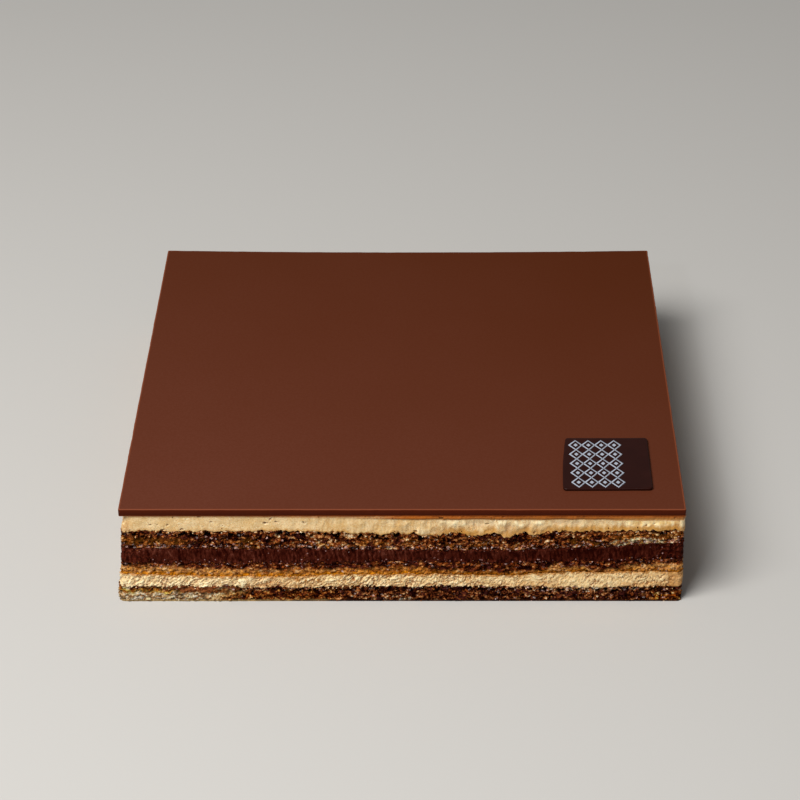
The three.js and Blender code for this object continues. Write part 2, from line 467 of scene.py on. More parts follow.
share = crumb.weigh((near_top, 0.12), start=put["pore_share"])
share = crumb.product(share, crumb.ease(x, -50.0, -40.0, put["dry_share"], 1.0))
pore = crumb.product(crumb.step("LESS_THAN", luck[0], share), crumb.ease(far, 0.52, 0.22))
pore = crumb.product(pore, crumb.weigh((luck[1], 0.7), start=0.5))
bend_x, _, bend_z = crumb.parts(bend)
size = put["hollow_size"]
step, luck = crumb.beads(crumb.step("DIVIDE", run, size))
wide = crumb.product(size, crumb.weigh((luck[1], 0.28), start=0.18))
tall = crumb.product(size, crumb.weigh((luck[2], 0.12), start=0.13))
across = crumb.step("DIVIDE", crumb.weigh((bend_x, 1.6), start=crumb.product(step, size)), wide)
sunk = crumb.weigh((tall, -1.0), (luck[1], -0.5), (bend_z, 1.3), start=crumb.less(down, 0.5))
sunk = crumb.step("DIVIDE", sunk, tall)
apart = crumb.step("MULTIPLY_ADD", across, across, crumb.product(sunk, sunk))
hollow_share = crumb.product(put["hollow_share"], crumb.ease(x, -20.0, 20.0, 1.0, put["right_share"]))
hollow_share = crumb.product(hollow_share, crumb.ease(x, -50.0, -40.0, put["dry_share"], 1.0))
hollow = crumb.product(crumb.step("LESS_THAN", luck[0], hollow_share), crumb.ease(apart, 1.4, 0.8))
round_far, round_luck = crumb.cells(crumb.shrunk(flat, put["crumb_size"]), 1.0)
grit_far, grit_luck = crumb.cells(at, 0.5)
on_skin = crumb.ease(up, crumb.weigh((put["skin"], 0.7)), crumb.weigh((put["skin"], 1.0), start=0.01))
relief = crumb.weigh(
    (crumb.cloud(at, 6.0, detail=1), 0.5),
    (crumb.cloud(at, 2.2, detail=2), 0.7),
    (crumb.product(round_far, round_far), -1.2),
    (round_luck[0], 0.3),
    (crumb.product(grit_far, grit_far), -0.45),
    (grit_luck[0], 0.16),
    (crumb.ease(x, -25.0, -50.0), put["dry_swell"]),
    start=-0.5,
)
relief = crumb.weigh((crumb.product(pore, put["pore_depth"]), -1.0), (hollow, -1.1), start=relief)
relief = crumb.product(relief, on_skin)
# This marks the pores and hollows, which the sponge finishes paint near black: painted shade in them.
pit_and_shade = crumb.product(crumb.highest(pore, crumb.product(hollow, 1.2)), on_skin)
geometry = store(crumb, put["Geometry"], "pit_and_shade", pit_and_shade)
geometry = store(crumb, geometry, "tone", round_luck[1])
end_tree(crumb, push_out(crumb, geometry, relief), put["material"])


def sponge_finish(name, dryness, glint_amount, stain=None, grit=1.0):
    """Almond sponge. dryness says how pale the syrup left it, from 0 to 1, and the third argument how many crumbs
    get painted glints, pale specks that stand in for the gleam of wet crumb, both out of the wiring and the place;
    stain can change the tone."""
    material, w, at = new_finish(name)
    level = w.vector("MULTIPLY", at, (0.8, 0.8, 1.5))
    grain_far, grain = w.cells(level, 0.75)
    fine = w.cloud(level, 0.6, detail=3, roughness=0.6)
    blot = w.cloud(level, 1.6, detail=3, roughness=0.6)
    wide = w.cloud(at, 5.0, detail=2, squash=(1, 1, 3.5))
    value = w.weigh(
        (w.carried("tone"), 0.36 * grit),
        (grain[0], 0.28 * grit),
        (fine, 1.6 * grit),
        (blot, 2.5),
        (wide, 0.7),
        start=w.less(dryness(w, at), 1.6 + 1.15 * grit),
    )
    tone = w.ramp(
        w.clamped(value),
        [
            (0.0, colour(25, 2, 0)),
            (0.18, colour(59, 18, 4)),
            (0.38, colour(110, 50, 18)),
            (0.58, colour(158, 95, 46)),
            (0.78, colour(200, 152, 98)),
            (1.0, colour(218, 200, 168)),
        ],
    )
    rust = w.product(w.ease(w.cloud(level, 2.2, detail=3), 0.52, 0.64, 0.0, 0.5), w.ease(value, 0.1, 0.35))
    tone = w.tint(rust, tone, colour(146, 66, 18))
    plum = w.ease(w.cloud(at, 2.6, detail=3), 0.5, 0.62, 0.0, 0.4)
    tone = w.tint(w.product(plum, w.ease(value, 0.55, 0.3)), tone, colour(90, 38, 30))
    if stain:
        tone = stain(w, at, tone)
    # Pores and hollows painted near black: painted shade in them, partly crumb soaked darker with syrup.
    tone = w.tint(w.product(w.carried("pit_and_shade"), 0.95, clamp=True), tone, colour(14, 1, 0))
    # Pale pinkish specks on some of the crumbs: painted glints, in place of the gleam of wet crumb.
    drift = w.eddy(at, 0.7, detail=2)
    glint_far, glint_cells = w.cells(w.vector("ADD", level, w.vector("SCALE", drift, Scale=1.1)), 0.9)
    painted_glint = w.product(w.step("LESS_THAN", glint_cells[2], glint_amount(w, at)), w.ease(glint_far, 0.5, 0.25))
    painted_glint = w.product(painted_glint, w.ease(glint_cells[0], 0.0, 1.0, 0.25, 0.85))
    tone = w.tint(painted_glint, tone, w.tint(glint_cells[1], colour(190, 138, 122), colour(224, 202, 198)))
    height = w.weigh((fine, 0.8), (grain_far, -0.8))
    end_finish(w, tone, w.ease(fine, 0.35, 0.65, 0.3, 0.6), gloss=0.015, bump=(0.8 * grit, 0.25, height))
    return material


def dry_end(w, at):
    """The part of the lowest sponge near the front left corner that took up hardly any syrup, from 0 to 1."""
    x, y, _ = w.parts(at)
    corner = (-80.0, -80.0, 0.0)
    node = w.add("ShaderNodeVectorMath", {0: w.join(x, y, 0.0), 1: corner}, operation="DISTANCE")
    return w.ease(w.uneven(node.outputs["Value"], at, 7.0, 30.0, 15.0, detail=3), 39.0, 23.0)


def gold_patch(w, at):
    """Clumps near the right end that the syrup missed, from 0 to 1."""
    clumps = w.ease(w.cloud(at, 3.0, detail=3), 0.36, 0.46)
    low = w.uneven(w.carried("up"), at, 1.5, 1.6, 0.8, detail=2)
    return w.product(clumps, w.ease(w.parts(at)[0], 70.0, 72.5), w.ease(low, 3.2, 2.2))


def lower_dryness(w, at):
    x = w.parts(at)[0]
    down = w.carried("down")
    patches = w.ease(w.cloud(at, 6.0, detail=3, squash=(1, 1, 2.2)), 0.53, 0.68, 0.0, 0.45)
    calm = w.band(x, -36.0, -28.0, -10.0, 0.0)
    patches = w.product(patches, w.weigh((calm, -0.6), start=1.0))
    dry = w.highest(dry_end(w, at), patches)
    depth = w.uneven(down, at, 2.0, 1.6, 0.8, detail=2)
    dry = w.product(dry, w.ease(depth, 0.7, 2.0))
    dark_row = w.product(w.ease(down, 2.4, 1.4), w.band(x, -45.0, -25.0, 15.0, 35.0))
    wet_foot = w.product(w.ease(down, 1.0, 1.9), w.ease(x, 10.0, 30.0, 0.0, -0.06))
    smeared = w.trend(
        x, 0.1, (-67.0, -63.0, -0.3), (-48.0, -44.0, 0.25), (-31.0, -27.0, 0.08), (-12.0, -8.0, -0.13),
        (25.0, 30.0, 0.26), (42.0, 46.0, 0.12), (58.0, 63.0, -0.28)
    )
    smeared = w.product(w.ease(down, 1.9, 1.2), smeared)
    low = w.product(w.ease(w.carried("up"), 2.4, 1.5), w.band(x, -47.0, -43.0, 6.0, 10.0))
    all_over = w.trend(
        x, 0.225, (-66.0, -62.0, -0.06), (-48.0, -44.0, 0.14), (-31.0, -27.0, -0.05), (6.0, 10.0, -0.12),
        (25.0, 30.0, 0.13), (60.0, 64.0, -0.1)
    )
    return w.weigh(
        (dry, 0.56),
        (dark_row, -0.1),
        (smeared, 1.0),
        (low, 0.1),
        (gold_patch(w, at), 0.26),
        start=w.plus(wet_foot, all_over),
    )


# How many crumbs get painted glints: more just under the cream and towards the right.
def lower_glints(w, at):
    under_cream = w.ease(w.carried("down"), 1.9, 0.8, 0.06, 0.3)
    return w.product(under_cream, w.ease(w.parts(at)[0], -20.0, 30.0, 0.4, 1.0))


def skin_and_gold(w, at, tone):
    """Where the syrup ended the crumb is smooth and straw-coloured, with a golden band above. The baked skin
    under the sponge shows as a thin line."""
    x, down, up = w.parts(at)[0], w.carried("down"), w.carried("up")
    tone = w.vector("MULTIPLY", tone, (1.0, 1.14, 1.4))
    long = w.cloud(at, 1.5, detail=4, roughness=0.6, squash=(0.7, 0.7, 1.6))
    straw = w.tint(w.ease(long, 0.38, 0.6), colour(112, 80, 34), colour(216, 198, 148))
    band = w.uneven(down, at, 3.0, 2.0, 1.0, detail=2)
    dry = dry_end(w, at)
    tone = w.tint(w.product(w.product(dry, w.ease(band, 0.9, 1.6)), 0.3), tone, straw)
    spots = w.cloud(at, 2.2, detail=3, roughness=0.6, squash=(0.8, 0.8, 1.2))
    tone = w.tint(w.product(dry, w.ease(spots, 0.46, 0.38, 0.0, 0.7)), tone, colour(74, 52, 18))
    tone = w.tint(w.product(dry, w.ease(spots, 0.54, 0.66, 0.0, 0.7)), tone, colour(216, 206, 160))
    between = w.band(band, 0.4, 0.9, 1.5, 2.4)
    gold = w.highest(w.product(between, dry), gold_patch(w, at))
    olive = w.product(w.ease(x, -58.0, -46.0), w.product(w.ease(x, -12.0, -24.0), w.ease(down, 0.8, 1.4)))
    gold = w.highest(gold, w.product(olive, 0.7))
    tone = w.tint(w.product(gold, 0.95), tone, w.vector("MULTIPLY", tone, (1.06, 0.84, 0.24)))
    drift = w.uneven(x, at, 9.0, 60.0, 30.0, detail=2)
    thick = w.less(band, w.trend(x, -0.35, (-68.0, -62.0, 2.2)))
    crust = w.product(w.ease(thick, 0.5, -0.1, 0.0, 0.95), dry)
    tone = w.tint(crust, tone, w.tint(w.ease(long, 0.4, 0.6), colour(84, 38, 12), colour(140, 80, 44)))
    skin = w.tint(w.ease(drift, -20.0, -50.0), colour(36, 15, 6), colour(182, 150, 92))
    return w.tint(w.ease(up, 0.66, 0.46, 0.0, 0.85), tone, skin)


lower_sponge = cut_slab("joconde_lower_crumb", foot, lower_sponge_top, 22)
run_tree(lower_sponge, crumb, skin=0.5, hollow_size=2.1, hollow_share=0.65, right_share=1.3, dry_share=0.25,
         dry_swell=0.35, material=sponge_finish("lower sponge", lower_dryness, lower_glints, skin_and_gold))
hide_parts("joconde_lower")
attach(lower_sponge, "root")

# ==== Lower buttercream ====
# Coffee buttercream, spread on the lower sponge. It was cold and stiff when it was cut, so the knife tore it
# into short slanting flakes.

lower_cream_top = wander(
    seam_on("buttercream_lower", ragged=0.4, seed=23),
    (-70, -0.6), (-62, -0.08), (-46, -0.08), (-42, 0), (-31, 0.05), (-26, 0.5), (-13, 0.5), (-8, 0), (6, 0),
    (12, 0.2), (26, 0.2), (30, 0.1)
)

torn, put = new_tree("torn cream", flake=0.48, depth=1.0)
at = torn.place()
x, _, z = torn.parts(at)
run = torn.carried("run")
bend = torn.eddy(at, 3.4, detail=2)
along = torn.step("MULTIPLY_ADD", run, 0.82, torn.product(z, 0.57))
across = torn.step("MULTIPLY_ADD", run, -0.57, torn.product(z, 0.82))
slant = torn.join(torn.product(along, 0.52), across, 0.0)
slant = torn.vector("ADD", slant, torn.vector("SCALE", bend, Scale=3.4))
flakes = torn.cloud(torn.shrunk(slant, put["flake"]), 1.0, detail=3, roughness=0.55)
folds = torn.cloud(slant, 1.6, detail=2)
crease_and_shade = torn.ease(torn.step("ABSOLUTE", torn.less(folds, 0.5)), 0.035, 0.0)
crease_and_shade = torn.product(crease_and_shade, torn.ease(torn.cloud(at, 5.0, detail=2), 0.42, 0.58))
depth = torn.product(put["depth"], torn.ease(x, 5.0, 45.0, 1.0, 0.6))
rise = torn.weigh(
    (torn.less(flakes, 0.5), torn.product(depth, 1.8)),
    (torn.less(folds, 0.5), depth),
)
relief = torn.weigh((torn.cloud(at, 7.0, detail=1), 0.5), (crease_and_shade, -0.5), start=torn.less(rise, 0.15))
# Hairline creases that are only painted dark and not carved: painted shade.
hairs = torn.cloud(torn.vector("SCALE", slant, Scale=1 / 0.9), 1.0, detail=2)
hairs = torn.ease(torn.step("ABSOLUTE", torn.less(hairs, 0.5)), 0.03, 0.0, 0.0, 0.7)
crease_and_shade = torn.highest(crease_and_shade, torn.product(hairs, torn.ease(x, 5.0, 45.0, 1.0, 0.4)))
# The low parts of the flakes and the creases are painted darker: painted shade.
geometry = store(torn, put["Geometry"], "pit_and_shade", torn.highest(torn.ease(rise, -0.02, -0.42), crease_and_shade))
# Raised flakes are painted paler, as painted highlight, and the cream is paler towards the left end.
painted_highlight = torn.weigh((torn.ease(x, -25.0, -50.0), 0.2), start=torn.ease(rise, 0.0, 0.4))
geometry = store(torn, geometry, "painted_highlight", painted_highlight)
end_tree(torn, push_out(torn, geometry, relief), put["material"])


def cream_finish(name, stained, body):
    """Buttercream: pale tan between the two colours of body, painted darker in its dips as painted shade, and
    painted nearly white on its tips as painted highlight.
    stained gives how much syrup seeped into it, and its colour."""
    material, w, at = new_finish(name)
    fine = w.cloud(at, 0.5, detail=3, roughness=0.6)
    broad = w.cloud(at, 4.0, detail=3)
    tone = w.tint(w.ease(broad, 0.35, 0.65), *body)
    # Dips and creases painted amber and, where deepest, dark brown: painted shade.
    tone = w.tint(w.step("MINIMUM", w.carried("pit_and_shade"), 1.0), tone, colour(156, 78, 10))
    tone = w.tint(w.ease(w.carried("pit_and_shade"), 1.0, 1.4), tone, colour(62, 26, 6))
    # Tips painted nearly white: painted highlight.
    tone = w.tint(w.product(w.carried("painted_highlight"), 0.9, clamp=True), tone, colour(255, 239, 196))
    tone = w.tint(w.ease(fine, 0.53, 0.68, 0.0, 0.35), tone, colour(186, 122, 50))
    tone = w.tint(w.ease(fine, 0.47, 0.32, 0.0, 0.4), tone, colour(250, 230, 188))
    amount, syrup = stained(w, at)
    tone = w.tint(amount, tone, syrup)
    soft = {"Subsurface Weight": 0.08, "Subsurface Radius": (0.8, 0.55, 0.35), "Subsurface Scale": 0.8 * MM}
    end_finish(w, tone, w.ease(fine, 0.3, 0.7, 0.42, 0.58), gloss=0.2, bump=(0.4, 0.2, fine), soft=soft)
    return material


def lower_syrup(w, at):
    """It seeps in from above, was spilt left of the middle, and stains the foot in places and the right end."""
    x, down = w.parts(at)[0], w.carried("down")
    seep = w.ease(w.uneven(down, at, 1.6, 2.4, 1.4, detail=3), 0.5, 0.0, 0.0, 0.75)
    spot = w.weigh((w.cloud(at, 2.2, detail=2), 3.0), start=w.step("ABSOLUTE", w.plus(x, 27.0)))
    spilt = w.product(w.ease(spot, 6.5, 4.0), w.ease(w.cloud(at, 1.3, detail=3), 0.5, 0.6, 0.0, 0.85))
    spilt = w.product(spilt, w.ease(down, 3.0, 1.4))
    dotted = w.product(w.ease(w.cloud(at, 0.9, detail=3), 0.54, 0.64), w.ease(x, 58.0, 70.0, 0.0, 0.6))
    low = w.uneven(w.carried("up"), at, 1.6, 1.6, 0.8, detail=3)
    stained = w.trend(
        x, 0.0, (-46.0, -43.0, 0.4), (-31.0, -28.0, -0.3), (24.0, 29.0, 0.22), (43.0, 47.0, -0.32),
        (60.0, 64.0, 0.4)
    )
    stained = w.ease(low, 1.9, 1.1, 0.0, stained)
    stained = w.highest(stained, w.trend(x, 0.0, (-46.0, -43.0, 0.2), (-31.0, -28.0, -0.2)))
    smeared = w.ease(w.uneven(x, at, 1.1, 4.0, 2.0, detail=3), 74.4, 76.4, 0.0, 0.62)
    return w.highest(seep, dotted, spilt, stained, smeared), colour(178, 108, 8)


lower_cream = cut_slab("buttercream_lower_torn", lower_sponge_top, lower_cream_top, 18)
torn_body = colour(243, 212, 156), colour(232, 195, 135)
run_tree(lower_cream, torn, material=cream_finish("torn buttercream", lower_syrup, torn_body))
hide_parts("buttercream_lower")
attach(lower_cream, "root")

# ==== Middle sponge ====
# The second sheet of sponge. Ganache soaked its upper half dark, and the syrup sank to its foot, where it
# shows as an amber line.

middle_sponge_top = seam_on("joconde_middle", ragged=0.5, seed=31)


def sunk_down(w, at):
    """How far a place lies below the part that the ganache soaked, from 0 to 1. It soaked deepest right of the
    middle."""
    reach = w.trend(
        w.parts(at)[0], -1.6, (-66.0, -62.0, -0.6), (-48.0, -42.0, -0.35), (-31.0, -27.0, -0.3),
        (-14.0, -9.0, 0.55), (5.0, 10.0, -1.85), (25.0, 30.0, 0.35), (39.0, 43.0, 1.75), (51.0, 55.0, -1.2),
        (61.0, 64.0, 1.2)
    )
    swing = w.weigh((w.cloud(at, 14.0, detail=2), 2.0), (w.cloud(at, 2.4, detail=3), 2.6), start=reach)
    return w.ease(w.plus(w.carried("down"), swing), 1.1, 2.6)


def middle_dryness(w, at):
    broad = w.ease(w.cloud(at, 10.0, detail=2), 0.4, 0.6, 0.3, 0.6)
    return w.weigh((w.product(sunk_down(w, at), broad), 1.0), start=0.19)


# How many crumbs get painted glints: more towards the ganache above.
def middle_glints(w, at):
    return w.ease(w.carried("down"), 2.2, 0.6, 0.03, 0.2)


def amber_foot(w, at, tone):
    """Syrup made the lower part of the sponge amber, and ends in a line of clear amber on the cream."""
    x, up = w.parts(at)[0], w.carried("up")
    long = w.cloud(at, 1.6, detail=4, roughness=0.6, squash=(0.6, 0.6, 1.8))
    amber = w.tint(w.ease(long, 0.38, 0.62), colour(112, 50, 0), colour(192, 114, 2))
    pale = w.tint(w.ease(long, 0.36, 0.6), colour(146, 84, 24), colour(234, 188, 120))
    sunk = sunk_down(w, at)
    ends = w.highest(w.ease(x, -42.0, -52.0, 0.35, 0.65), w.ease(x, 32.0, 42.0, 0.35, 0.6))
    ends = w.product(ends, w.ease(up, 2.8, 1.7, 0.1, 1.0))
    tone = w.tint(w.product(sunk, ends), tone, pale)
    middle = w.product(w.ease(x, -48.0, -20.0), w.ease(x, 45.0, 20.0, 0.35, 1.0))
    above = w.product(w.ease(up, 3.2, 1.4, 0.15, 0.8), w.ease(long, 0.42, 0.58))
    above = w.highest(above, w.product(middle, 0.8))
    soaked = w.tint(0.5, w.vector("MULTIPLY", tone, (1.0, 0.74, 0.26)), amber)
    tone = w.tint(w.product(above, sunk), tone, soaked)
    reach = w.uneven(up, at, 2.4, 2.6, 1.4, detail=3)
    amber = w.tint(w.ease(up, 1.0, 0.3, 0.0, w.trend(x, 0.6, (4.0, 9.0, -0.45))), amber, colour(212, 134, 22))
    darker = w.tint(w.ease(x, 4.0, 9.0), (1, 1, 1, 1), (0.52, 0.48, 0.5, 1))
    amber = w.vector("MULTIPLY", amber, darker)
    return w.tint(w.ease(reach, 1.1, 0.0, 0.0, 0.96), tone, amber)


middle_sponge = cut_slab("joconde_middle_crumb", lower_cream_top, middle_sponge_top, 20)
run_tree(middle_sponge, crumb, pore_share=0.12, pore_depth=0.5, pore_size=0.9, crumb_size=0.9, hollow_share=0.0,
         material=sponge_finish("middle sponge", middle_dryness, middle_glints, amber_foot, grit=0.6))
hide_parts("joconde_middle")
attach(middle_sponge, "root")

# ==== Ganache ====
# Dark chocolate ganache, poured warm on the middle sponge and set firm. The knife left it smooth, with faint
# upright chatter marks.

ganache_top = wander(
    seam_on("ganache", ragged=0.3, seed=43),
    (-68, 0.15), (-62, 0), (-12, 0), (-8, 0.2), (6, 0.2), (10, 0), (46, 0.1), (58, 0.1), (64, 0.5), (76, 0.5)
)

chatter, put = new_tree("chattered ganache", mark=1.0, depth=0.26)
at = chatter.place()
run = chatter.carried("run")
up, down = chatter.carried("up"), chatter.carried("down")
x, y, z = chatter.parts(at)
bend = chatter.less(chatter.cloud(at, 3.0, detail=2), 0.5)
upright = chatter.join(chatter.weigh((bend, 1.2), (z, 0.18), start=run), chatter.product(z, 0.14), 0.0)
marks = chatter.cloud(chatter.shrunk(upright, put["mark"]), 1.0, detail=3)
corner = chatter.ease(chatter.from_middle(x, y), 66.0, 78.0)
edge = chatter.highest(chatter.ease(down, 1.0, 0.2), chatter.ease(up, 1.7, 0.3))
edge = chatter.highest(edge, chatter.product(corner, 0.8))
lumps = chatter.less(chatter.cloud(at, 0.9, detail=3, roughness=0.6), 0.5)
rough = chatter.product(edge, lumps)
relief = chatter.weigh(
    (chatter.less(marks, 0.5), chatter.product(put["depth"], 2.0)),
    (chatter.cloud(at, 9.0, detail=1), 0.4),
    (chatter.cloud(at, 2.4, detail=2), 0.3),
    (rough, 1.8),
    start=-0.42,
)
# The grooves of the chatter marks, which the finish paints darker as painted shade.
geometry = store(chatter, put["Geometry"], "pit_and_shade", chatter.ease(marks, 0.62, 0.35))
geometry = store(chatter, geometry, "torn", edge)
end_tree(chatter, push_out(chatter, geometry, relief), put["material"])


def ganache_finish():
    material, w, at = new_finish("set ganache")
    x, y, _ = w.parts(at)
    fine = w.cloud(at, 0.6, detail=3, roughness=0.6, squash=(1, 1, 0.4))
    broad = w.cloud(at, 5.0, detail=3)
    grain_far, grain = w.cells(at, 0.7)
    shade = w.uneven(x, at, 18.0, 30.0, 15.0, detail=2)
    # Darker in the chatter grooves, as painted shade, and darker towards the right.
    value = w.weigh(
        (fine, 1.9), (broad, 1.0), (w.carried("pit_and_shade"), -0.5), (w.ease(shade, -5.0, 45.0), -0.2), start=-0.85
    )
    tone = w.ramp(
        w.clamped(value),
        [
            (0.0, colour(34, 3, 0)),
            (0.35, colour(56, 16, 7)),
            (0.65, colour(74, 29, 18)),
            (1.0, colour(112, 62, 48)),
        ],
    )
    torn = w.carried("torn")
    end = w.ease(w.from_middle(x, y), 68.0, 78.0)
    crumbs = w.product(w.ease(w.cloud(at, 0.9, detail=3), 0.48, 0.64), torn)
    crumbs = w.product(crumbs, w.ease(w.carried("up"), 0.6, 2.0, 0.3, 0.65))
    tone = w.tint(crumbs, tone, colour(104, 44, 28))
    # Near-black holes along the torn edges, only painted: painted shade.
    hole_shade = w.product(w.ease(w.cloud(at, 1.2, detail=3), 0.46, 0.36), torn)
    tone = w.tint(w.product(hole_shade, 0.75), tone, colour(20, 3, 1))
    # Pale pinkish specks, more along the torn edges: painted glints.
    glint_share = w.weigh((w.product(torn, w.weigh((end, -0.8), start=1.0)), 0.2), start=0.008)
    glint_cells = w.step("LESS_THAN", grain[2], glint_share)
    painted_glint = w.product(glint_cells, w.product(w.ease(grain_far, 0.42, 0.2), w.ease(grain[0], 0.0, 1.0, 0.2, 0.7)))
    tone = w.tint(painted_glint, tone, colour(200, 156, 150))
    end_finish(w, tone, w.ease(fine, 0.3, 0.7, 0.3, 0.45), gloss=0.015, bump=(0.3, 0.12, fine))
    return material


ganache = cut_slab("ganache_cut", middle_sponge_top, ganache_top, 22)
run_tree(ganache, chatter, material=ganache_finish())
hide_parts("ganache")
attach(ganache, "root")

# ==== Upper sponge ====
# The third sheet of sponge, wet all through, with the largest pores. The knife pulled some of them open into
# dark hollows under the cream.

DOLLOP = (29.6, 1.5, 0.75)  # cream that hangs over the front: its place, half its width, and its depth in mm

upper_sponge_top = wander(
    seam_on("joconde_upper", ragged=0.85, seed=57, calm=0.6),
    (-68, 0.1), (-62, 0.12), (-48, 0.12), (-42, 0.25), (-12, 0.2), (4, 0.05), (10, -0.5), (26, -0.5), (30, -0.52),
    (42, -0.52), (46, -0.35), (58, -0.35), (64, -0.1)
)
spread = np.exp(-(((rim_xy[:, 0] / MM - DOLLOP[0]) / DOLLOP[1]) ** 4))
on_front = rim_outward[:, 1] < -0.9
upper_sponge_top[1][:] -= DOLLOP[2] * MM * spread * on_front


def pale_strip(w, at):
    """A dry strip on the ganache near the right end, from 0 to 1."""
    x = w.parts(at)[0]
    reach = w.uneven(w.carried("up"), at, 3.0, 1.4, 0.7, detail=2)
    return w.product(w.band(x, 57.0, 61.0, 73.0, 76.0), w.ease(reach, 2.1, 1.5))


def gold_over_strip(w, at):
    """The yellow crumb above that strip, from 0 to 1."""
    x, up = w.parts(at)[0], w.carried("up")
    return w.product(w.ease(x, 56.0, 61.0), w.band(up, 1.5, 2.1, 3.0, 3.7))


def upper_dryness(w, at):
    x = w.parts(at)[0]
    patches = w.ease(w.cloud(at, 5.0, detail=3, squash=(1, 1, 1.8)), 0.5, 0.66)
    up, down = w.carried("up"), w.carried("down")
    lower_half = w.product(w.ease(up, 3.6, 1.4, 0.2, 1.0), w.ease(x, -48.0, -40.0, 0.5, 1.0))
    under_cream = w.trend(
        x, 0.17, (-48.0, -44.0, -0.1), (-32.0, -26.0, 0.22), (-12.0, -8.0, -0.08), (12.0, 27.0, -0.34),
        (42.0, 46.0, 0.34)
    )
    under_cream = w.product(w.ease(down, 2.4, 0.9), under_cream)
    above = w.trend(
        x, -0.05, (-47.0, -43.0, 0.18), (-12.0, -8.0, -0.08), (6.0, 10.0, -0.06), (26.0, 30.0, -0.06),
        (42.0, 46.0, 0.12)
    )
    above = w.product(w.band(down, 1.0, 1.4, 2.2, 2.8), above)
    below = w.trend(x, 0.0, (-31.0, -27.0, 0.15), (-12.0, -8.0, -0.15), (26.0, 30.0, 0.22), (42.0, 46.0, -0.34))
    below = w.product(w.band(up, 0.6, 1.3, 2.3, 3.3), below)
    streak = w.trend(
        x, 0.09, (-67.0, -63.0, -0.13), (-48.0, -44.0, 0.04), (-31.0, -27.0, 0.1), (42.0, 46.0, -0.1)
    )
    streak = w.product(w.band(up, 1.3, 1.6, 2.2, 2.5), streak)
    all_over = w.trend(
        x, 0.22, (-66.0, -62.0, -0.05), (-45.0, -15.0, 0.07), (6.0, 12.0, -0.05), (26.0, 30.0, -0.04),
        (42.0, 47.0, 0.02)
    )
    return w.weigh(
        (w.product(patches, lower_half), 0.34),
        (pale_strip(w, at), 0.6),
        (gold_over_strip(w, at), 0.2),
        (under_cream, 1.0),
        (below, 1.0),
        (above, 1.0),
        (streak, 1.0),
        start=all_over,
    )


def olive_blots(w, at, tone):
    """Where the crumb took up less coffee it looks yellow. A row of pores, only painted dark as painted shade, runs
    under the pale strip.
    """
    x, up = w.parts(at)[0], w.carried("up")
    blots = w.ease(w.cloud(at, 3.4, detail=3, squash=(1, 1, 1.6)), 0.52, 0.66, 0.0, 0.55)
    blots = w.product(blots, w.ease(up, 4.4, 2.6))
    near_end = w.product(w.ease(x, -58.0, -66.0), w.band(up, 0.6, 1.2, 2.6, 3.8))
    amount = w.highest(blots, w.product(w.highest(gold_over_strip(w, at), near_end), 0.5))
    tone = w.tint(w.product(pale_strip(w, at), 0.9), tone, w.vector("MULTIPLY", tone, (0.95, 1.05, 0.94)))
    olive = w.tint(0.4, w.vector("MULTIPLY", tone, (1.1, 0.92, 0.38)), colour(150, 94, 20))
    tone = w.tint(amount, tone, olive)
    # Pores painted dark, with no hollow carved: painted shade.
    pore_shade = w.ease(w.cells(at, 1.4)[0], 0.46, 0.34)
    row = w.product(w.band(x, 54.0, 58.0, 74.0, 77.0), w.ease(up, 1.4, 1.0))
    return w.tint(w.product(w.ease(pore_shade, 0.0, 1.0, 0.35, 1.0), w.product(row, 0.9)), tone, colour(40, 14, 4))


# How many crumbs get painted glints: more near the ganache below, in patches, and on the pale strip.
def upper_glints(w, at):
    foot = w.product(w.ease(w.carried("up"), 1.3, 0.7), w.ease(w.cloud(at, 9.0, detail=2), 0.38, 0.55, 0.4, 1.0))
    return w.weigh((pale_strip(w, at), 0.2), start=w.plus(foot, 0.1))


upper_sponge = cut_slab("joconde_upper_crumb", ganache_top, upper_sponge_top, 28)
run_tree(upper_sponge, crumb, hollow_size=3.4, hollow_share=0.5, right_share=0.4,
         material=sponge_finish("upper sponge", upper_dryness, upper_glints, olive_blots))
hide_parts("joconde_upper")
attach(upper_sponge, "root")

# ==== Upper buttercream ====
# The same coffee buttercream, a little softer when it was cut: the knife dragged it smooth, with small pits
# and folds. The glaze pressed in its top edge, where clear butter and syrup show as an amber lip.

glaze_seam = (np.full(len(rim_shares), cream_top), np.full(len(rim_shares), cream_top))

# How a knife drags soft cream. where tells how far right a place lies, because the cream is folded only right of
# the middle. nicks are the small slanting pits to the left of it.
dragged, put = new_tree("dragged cream", lip=1.3, nick_share=0.4, swell=1.6)
at = dragged.place()
run, down = dragged.carried("run"), dragged.carried("down")
x, y, z = dragged.parts(at)
bend = dragged.eddy(at, 2.6, detail=2)
drag = dragged.join(run, dragged.product(z, 0.25), 0.0)
fold = dragged.join(run, dragged.product(z, 1.1), 0.0)
fold = dragged.vector("ADD", fold, dragged.vector("SCALE", bend, Scale=2.6))
where = dragged.uneven(x, at, 25.0, 60.0, 30.0, detail=2)
folded = dragged.ease(where, 2.0, 26.0)
slanting = dragged.join(dragged.weigh((z, 0.5), start=run), dragged.weigh((run, -0.12), start=z), 0.0)
slanting = dragged.vector("ADD", slanting, dragged.vector("SCALE", bend, Scale=2.2))
far, luck = dragged.cells(dragged.vector("MULTIPLY", slanting, (1 / 3.0, 1 / 1.3, 1.0)), 1.0)
nick_share = dragged.product(put["nick_share"], dragged.ease(x, -40.0, -15.0, 1.0, 0.15))
nicks = dragged.step("LESS_THAN", luck[0], nick_share)
nicks = dragged.product(nicks, dragged.ease(x, -74.0, -66.0, 0.35, 1.0))
girth = dragged.weigh((luck[1], 0.2), start=0.15)
pit_and_shade = dragged.product(nicks, dragged.ease(dragged.step("DIVIDE", far, girth), 1.0, 0.6))
